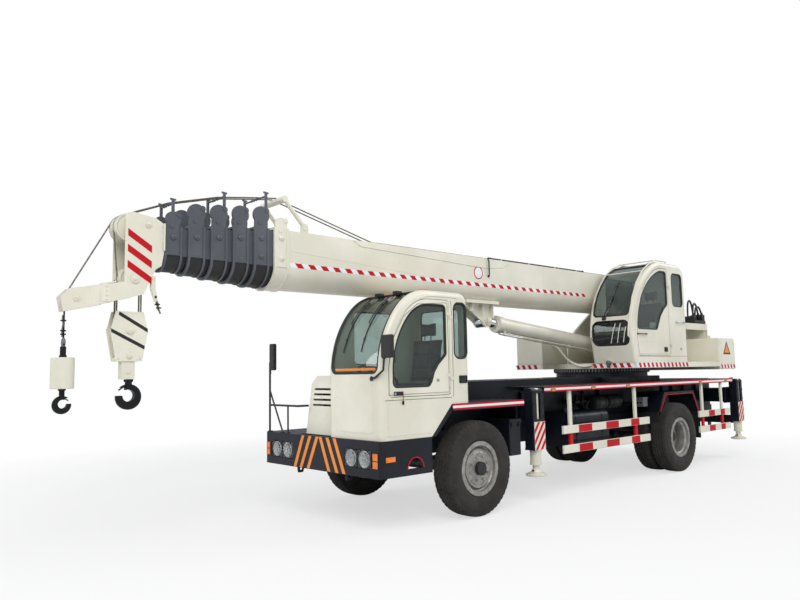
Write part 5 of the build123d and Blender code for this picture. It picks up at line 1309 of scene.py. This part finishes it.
# Pins and keepers at the head, the block and the boom's foot
keepers, hookBlock = Shape(), Shape()
for side, tag in sides:
    outward = (0, side, 0)
    for x, y, z, size, height in ((3412, 162, 2420, 32, 10), (3300, 162, 2920, 24, 10), (3868.2, 68, 2235, 26, 8),
                                  *((3650, 155, z, 12, 7) for z in (2225, 2260, 2300, 2338))):
        keepers.bolt((x, side * y, z), outward, size, height)
    for z in (2715, 2770, 2860, 2915):
        keepers.bolt((3163, side * 161, z), forward, 12, 7)
    for x, y, z, size, height in ((3412, 73, 1975, 32, 11), (3412, 70, 1747, 24, 9), (3318, 58, 1722, 14, 8),
                                  (3506, 58, 1722, 14, 8), (3412, 45, 1602, 26, 9)):
        hookBlock.bolt((x, side * y, z), outward, size, height)
keepers.done("head_fasteners", "ivoryEnamel", "boom_section_6", 40)
hookBlock.turned([(0, 40), (22, 40), (26, 34)], (3392, 0, 1516), upward, 6, 1)
# Spring latch across the main hook's mouth
hookBlock.tube([(3378, 0, 1480), (3440, 0, 1470), (3478, 0, 1445)], 7, 10, 1)
hookBlock.brick((3362, -14, 1470), (3396, 14, 1492), 4, 1)
hookBlock.done("hook_block_fasteners", "ivoryEnamel forgedSteel", "hook_block", 40)
auxTrim = Shape()
x = 3942.5
auxTrim.turned([(0, 30), (16, 30), (20, 25)], (x, 0, 1731), upward, 6)
auxTrim.turned([(0, 15), (40, 19), (66, 17), (78, 9)], (x, 0, 1816), upward, 16, 1)
auxTrim.turned([(-10, 28), (0, 32), (6, 26)], (x, 0, 1466), upward, 24)
auxTrim.tube([(x, -24, 1840), (x, 24, 1840)], 7, 10)
for z in (1925, 1955, 2040):
    auxTrim.brick((3926, -15, z - 6), (3961, 13, z + 6), 2.5)
    for y in (-9, 7):
        auxTrim.bolt((3961, y, z), forward, 9, 7, 0, False)
auxTrim.tube([(3954, 0, 1900), (3957, 2, 1960), (3950, 5, 2010), (3956, 2, 2060), (3953, -3, 2085)], 6, 10, 1)
auxTrim.tube([(3950, 0, 1400), (3914, 0, 1388), (3890, 0, 1372)], 5, 10)
auxTrim.done("aux_hook_trim", "forgedSteel greyPrimer", "aux_hook", 40)
print("ropes and fasteners made")

# Counterweight and locker: blank triangles, bolts, latches
weightSetup = {"face": 1000.0, "rear": -6820, "levels": (1600, 1960),
               "triangles": (([(-6640, 1758), (-6352, 1758), (-6496, 1984)], 0.0, 1.0),
                             ([(-6594, 1784), (-6398, 1784), (-6496, 1938)], 1.0, 0.8))}
s = weightSetup
trim = Shape()
for side, tag in sides:
    for slot, (outline, out, thick) in enumerate(s["triangles"]):
        trim.film(onSide(s["face"] + out, side, outline), thick, slot)
    for x, z in ((x, z) for x in (-6260, -6760) for z in s["levels"]):
        trim.bolt((x, side * s["face"], z), (0, side, 0), 24, 13, 2)
for y, z in ((y, z) for y in (-700, 0, 700) for z in s["levels"]):
    trim.bolt((s["rear"], y, z), backward, 24, 13, 2)
trim.done("counterweight_trim", "blackFilm signalOrangeFilm ivoryEnamel", "superstructure", 40)
latches = Shape()
for x in (-3580, -4035, -4490):
    latches.brick((x - 26, -1022, 1986), (x + 26, -1015, 2012), 3)
    latches.turned([(0, 9), (9, 9), (11, 5)], (x, -1019, 1999), rightward, 16, 1)
    for dx in (-150, 150):
        latches.tube([(x + dx - 24, -1017, 1688), (x + dx + 24, -1017, 1688)], 7, 10, 1)
for y in (-960, -760, -560):
    latches.bolt((-3310, y, 2030), forward, 15, 8, 1)
latches.done("locker_latches", "blackFilm aluminiumTrim", "superstructure", 40)

# Slewing ring: its bolts, and teeth under the table
ringSetup = {"x": -4150.0, "bolts": 48, "boltCircle": 717, "teeth": 96, "toothCircle": 731}
s = ringSetup
ring = Shape()
for a, b in around(s["bolts"], s["boltCircle"]):
    ring.bolt((s["x"] + a, b, 1500), downward, 20.8, 12)
for a, b in around(s["teeth"], s["toothCircle"]):
    ring.tube([(s["x"] + a, b, 1506), (s["x"] + a, b, 1550)], 9, 6, 1)
ring.done("slewing_ring_detail", "forgedSteel greyPrimer", "carrier", 40)

# Luffing cylinder: wiper ring, gland bolts and its two oil pipes
cylinderSetup = {"foot": (-4300, 0, 1900), "eye": (-1330, 0, 2215), "pivot": (-5450, 301, 2722)}
s = cylinderSetup
footPlace, eye = Vector(s["foot"]), Vector(s["eye"])
rod = (eye - footPlace).normalized()
rodUp = Vector((-rod.z, 0, rod.x))
gland = (eye - footPlace).length - 270


def onRod(distance, y=0.0, up=0.0):
    return footPlace + rod * distance + rodUp * up + Vector((0, y, 0))


cylinder, eyePins, pivots = Shape(), Shape(), Shape()
cylinder.turned([(0, 112), (10, 112), (14, 104), (14, 70), (22, 69), (24, 64)], onRod(gland - 1), rod, 48)
for a, b in around(10, 90, 0.5):
    cylinder.bolt(onRod(gland + 9, a, b), rod, 15, 9)
for y, first, last in ((66, 260, gland - 120), (-66, 260, gland - 160)):
    pipe = ((first, -84), (first + 20, -116), (last - 20, -116), (last, -84))
    cylinder.tube([onRod(distance, y, up) for distance, up in pipe], 10)
    for k in range(4):
        d = first + 120 + (last - first - 240) * k / 3
        cylinder.tube([onRod(d - 9, y - 20, -100), onRod(d + 9, y - 20, -100)], 7, 8)
        cylinder.tube([onRod(d - 9, y, -116), onRod(d + 9, y, -116)], 13.5, 14)
    cylinder.turned([(0, 17), (26, 17), (28, 12)], onRod(last - 4, y, -90), downward, 6)
cylinder.turned([(0, 46), (18, 46), (20, 40)], onRod(168, 0, -96), -rodUp, 6)
cylinder.done("luff_barrel_detail", "ivoryEnamel", "luff_barrel", 40)
for side, tag in sides:
    eyePins.bolt((s["eye"][0], side * 136, s["eye"][2]), (0, side, 0), 44, 16)
    x, y, z = s["pivot"]
    for a, b in around(6, 98):
        pivots.bolt((x + a, side * y, z + b), (0, side, 0), 20, 10)
eyePins.done("eye_pin_heads", "ivoryEnamel", "boom_base", 40)
pivots.done("boom_pivot_bolts", "ivoryEnamel", "superstructure", 40)
print("superstructure dressed")

# Mudguards: red edge line and rubber flaps
guardSetup = {"edge": 1006.0, "arch": [(-815, 840), (-643, 1146), (222, 1146), (398, 898)],
              "flaps": ((-860, 430.0, 842), (446, 700, 892))}    # x from the axle, foot and top
s = guardSetup
edges = Shape()
for side, tag in sides:
    edges.tube([(a - wheelBase, side * s["edge"], z) for a, z in s["arch"]], 6, 8)
    for off, low, high in s["flaps"]:
        x = off - wheelBase
        edges.brick((x - 5, side * 600, low), (x + 5, side * 1000, high), 2, 1)
        for y in range(640, 961, 80):
            edges.bolt((x + 5, side * y, high - 22), forward, 14, 6, 2)
edges.done("mudguard_trim", "signalRedFilm gasketRubber forgedSteel", "carrier", 40)

# Under the deck: air tanks, valves, hoses in looms, a junction box, the exhaust
clutter = Shape()
for x in (-3050, -3420):
    clutter.turned([(-150, 40), (-142, 80), (-126, 98), (126, 98), (142, 80), (150, 40)], (x, 610, 1080), forward, 32)
    for dx in (-80, 80):
        clutter.turned([(-14, 101), (14, 101)], (x + dx, 610, 1080), forward, 32, 1)
        clutter.brick((x + dx - 14, 486, 1060), (x + dx + 14, 520, 1100), 3, 1)
clutter.brick((-3960, 700, 985), (-3840, 880, 1110), 10, 2)
clutter.brick((-3968, 694, 1104), (-3832, 886, 1122), 6, 2)
for y in (740, 790, 840):
    clutter.turned([(0, 12), (10, 12), (12, 7)], (-3839, y, 1040), forward, 16, 1)
clutter.brick((-3940, 486, 1020), (-3860, 702, 1040), 3, 1)
for k, (x, y) in enumerate(((-2480, 560), (-2540, 600), (-2600, 560), (-2660, 620))):
    clutter.turned([(0, 22), (60, 22), (70, 14), (92, 14)], (x, y, 1120), upward, 16, 1)
    path = [(x - 60 * t - 30 * math.sin(t * 3 + k), y + 70 * t, 1120 - 90 * math.sin(t * math.pi) * (0.6 + 0.2 * k))
            for t in (i / 14 for i in range(15))]
    clutter.tube(path, 11, 10, 3)
clutter.brick((-2700, 486, 1090), (-2440, 660, 1122), 6, 1)
# Exhaust box and pipe on the far side
clutter.turned([(-260, 60), (-250, 96), (250, 96), (260, 60)], (-3120, -640, 760), forward, 36)
clutter.tube([(-2870, -640, 760), (-2700, -600, 745), (-2500, -420, 720)], 38, 18)
clutter.tube([(-3370, -640, 760), (-3470, -660, 760), (-3520, -760, 745), (-3540, -860, 735)], 36, 18)
for x in (-3280, -2960):
    clutter.turned([(-14, 99), (14, 99)], (x, -640, 760), forward, 36, 1)
    clutter.brick((x - 12, -520, 700), (x + 12, -466, 820), 3, 1)
clutter.done("underdeck_fittings", "dullBlackPaint forgedSteel greyPrimer gasketRubber", "carrier", 40)

# Tank gauges, caps, straps' bolts; battery box latches
small = Shape()
small.turned([(0, 50), (12, 50), (16, 42), (26, 40)], (-1990, 800, 1022), upward, 28)
small.turned([(0, 56), (12, 56), (16, 46)], (-2700, -700, 1034), upward, 28)
small.brick((-2500, -934, 690), (-2470, -929, 870), 4, 1)
for side, z in ((1, 720), (-1, 600)):
    for x in (-2050, -2650):
        small.bolt((x, side * 934, z), (0, side, 0), 17, 9, 1)
    for x in (-660, -790):
        small.brick((x - 16, side * 995, 900), (x + 16, side * 1003, 962), 3, 1)
    for x in (-1180, -6290):
        small.bolt((x, side * 451, 1200), (0, side, 0), 20, 10, 1)
small.done("tank_and_box_fittings", "blackFilm forgedSteel", "carrier", 40)

# Bolts on the legs: cover plates, jack necks and foot pins
for leg, side, x in legs:
    bolts, foot = Shape(), Shape()
    y = side * legY
    for dx, z in ((dx, z) for dx in (-88, 88) for z in (1000, 1150, 1290)):
        bolts.bolt((x + dx, side * 1040, z), (0, side, 0), 15, 8)
    for a, b in around(8, 62, 0.5):
        bolts.bolt((x + a, y + b, 460), upward, 12, 8, 1, False)
    bolts.tube([(x + a, side * 905, z) for a, z in ((-60, 1338), (-60, 1352), (60, 1352), (60, 1338))], 8, 10)
    bolts.done(f"leg_fasteners_{leg}", "navyEnamel ivoryEnamel", f"outrigger_beam_{leg}", 40)
    foot.turned([(0, 118), (6, 122), (10, 118)], (x, y, 301), upward, 40)
    foot.tube([(x - 66, y, 366), (x + 66, y, 366)], 11, 14, 1)
    foot.done(f"foot_pin_{leg}", "ivoryEnamel forgedSteel", f"outrigger_jack_{leg}", 40)
print("carrier dressed")

# Oil hoses: an ivory one in front of the table, three black ones looping over the block behind the boom's foot
hoseSetup = {
    "cylinder": {"points": [(-3600, -508, 1922), (-3600, -430, 1920), (-3600, -330, 1800), (-3604, -215, 1680),
                            (-3606, -70, 1612), (-3612, 40, 1590), (-3630, 110, 1596), (-3652, 150, 1604)],
                 "radius": 0.018, "length": 0.78},
    "loopRadius": 0.016,
    # Each loop: where it starts, how far it reaches to the rear, its rise in millimetres and its length in metres
    "loops": ((-6430, 380, 210, 400, 0.702), (-6480, 450, 200, 340, 0.59), (-6400, 525, 260, 270, 0.512)),
}


def layHose(name, points, radius, finish):
    # One smooth hose, attached to the superstructure
    curve = bpy.data.curves.new(name, "CURVE")
    curve.dimensions = "3D"
    curve.resolution_u = 10
    curve.bevel_depth = radius
    curve.bevel_resolution = 5
    curve.use_fill_caps = True
    spline = curve.splines.new("NURBS")
    spline.points.add(len(points) - 1)
    for point, place in zip(spline.points, points):
        point.co = (*at(*place), 1)
    spline.order_u = 3
    spline.use_endpoint_u = True
    curve.materials.append(paint[finish])
    hose = bpy.data.objects.new(name, curve)
    bpy.context.scene.collection.objects.link(hose)
    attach(hose, "superstructure")
    return hose


s = hoseSetup
ferrules = Shape()
ferrules.turned([(0, 26), (26, 26), (30, 22), (44, 21)], (-3600, -512, 1922), leftward, 24)
ferrules.turned([(0, 34), (4, 34)], (-3600, -510, 1922), leftward, 6)
ferrules.turned([(0, 24), (30, 22), (46, 20)], (-3654, 152, 1604), (0.5, -0.85, -0.1), 24)
ferrule = ferrules.done("hose_ferrules", "ivoryEnamel", "superstructure", 40)
oilHose = s["cylinder"]
layHose("cylinder_hose", oilHose["points"], oilHose["radius"], "ivoryEnamel")

# Valve block and rotary joint behind the boom's foot
valves = Shape()
valves.brick((-6710, -266, 2290), (-6420, 266, 2310), 2)
valves.brick((-6700, 200, 2309), (-6280, 572, 2370), 7)
valves.brick((-6700, 340, 2369), (-6600, 560, 2480), 6)
valves.brick((-6385, 330, 2369), (-6295, 560, 2404), 4)
half = [(16, 42), (20, 35), (60, 35), (64, 42), (110, 40), (115, 34)]
valves.turned([(-along, r) for along, r in reversed(half)] + half, (-6340, 445, 2410), leftward, 32)
for y in (352, 415, 488, 548):
    valves.turned([(0, 13), (14, 13), (16, 9), (26, 9)], (-6600, y, 2425), forward, 6, 1)
for x, y in ((-6680, 222), (-6300, 222), (-6680, 300), (-6300, 300)):
    valves.bolt((x, y, 2370), upward, 16, 10, 1)
valves = valves.done("rotary_joint", "mouldedAbs forgedSteel", "superstructure", 30)
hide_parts("hydraulic_lines")
for k, (x, y, reach, rise, length) in enumerate(s["loops"]):
    collars = Shape()
    for place, end in (((x, y, 2366), 44), ((x - reach, y, 2478), 40)):
        collars.turned([(0, 24), (14, 24), (16, 20), (end, 19)], place, upward, 6)
    collars = collars.done(f"loop_collars_{k + 1}", "forgedSteel", "superstructure", 40)
    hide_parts("hydraulic_lines")
    route = [(x, y, 2372), (x, y, 2360 + 0.7 * rise), (x - 0.35 * reach, y, 2360 + rise),
             (x - 0.8 * reach, y, 2360 + 0.85 * rise), (x - reach, y, 2482)]
    hose = layHose(f"loop_hose_{k + 1}", route, s["loopRadius"], "mouldedAbs")
    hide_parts("hydraulic_lines")
print("hoses laid")
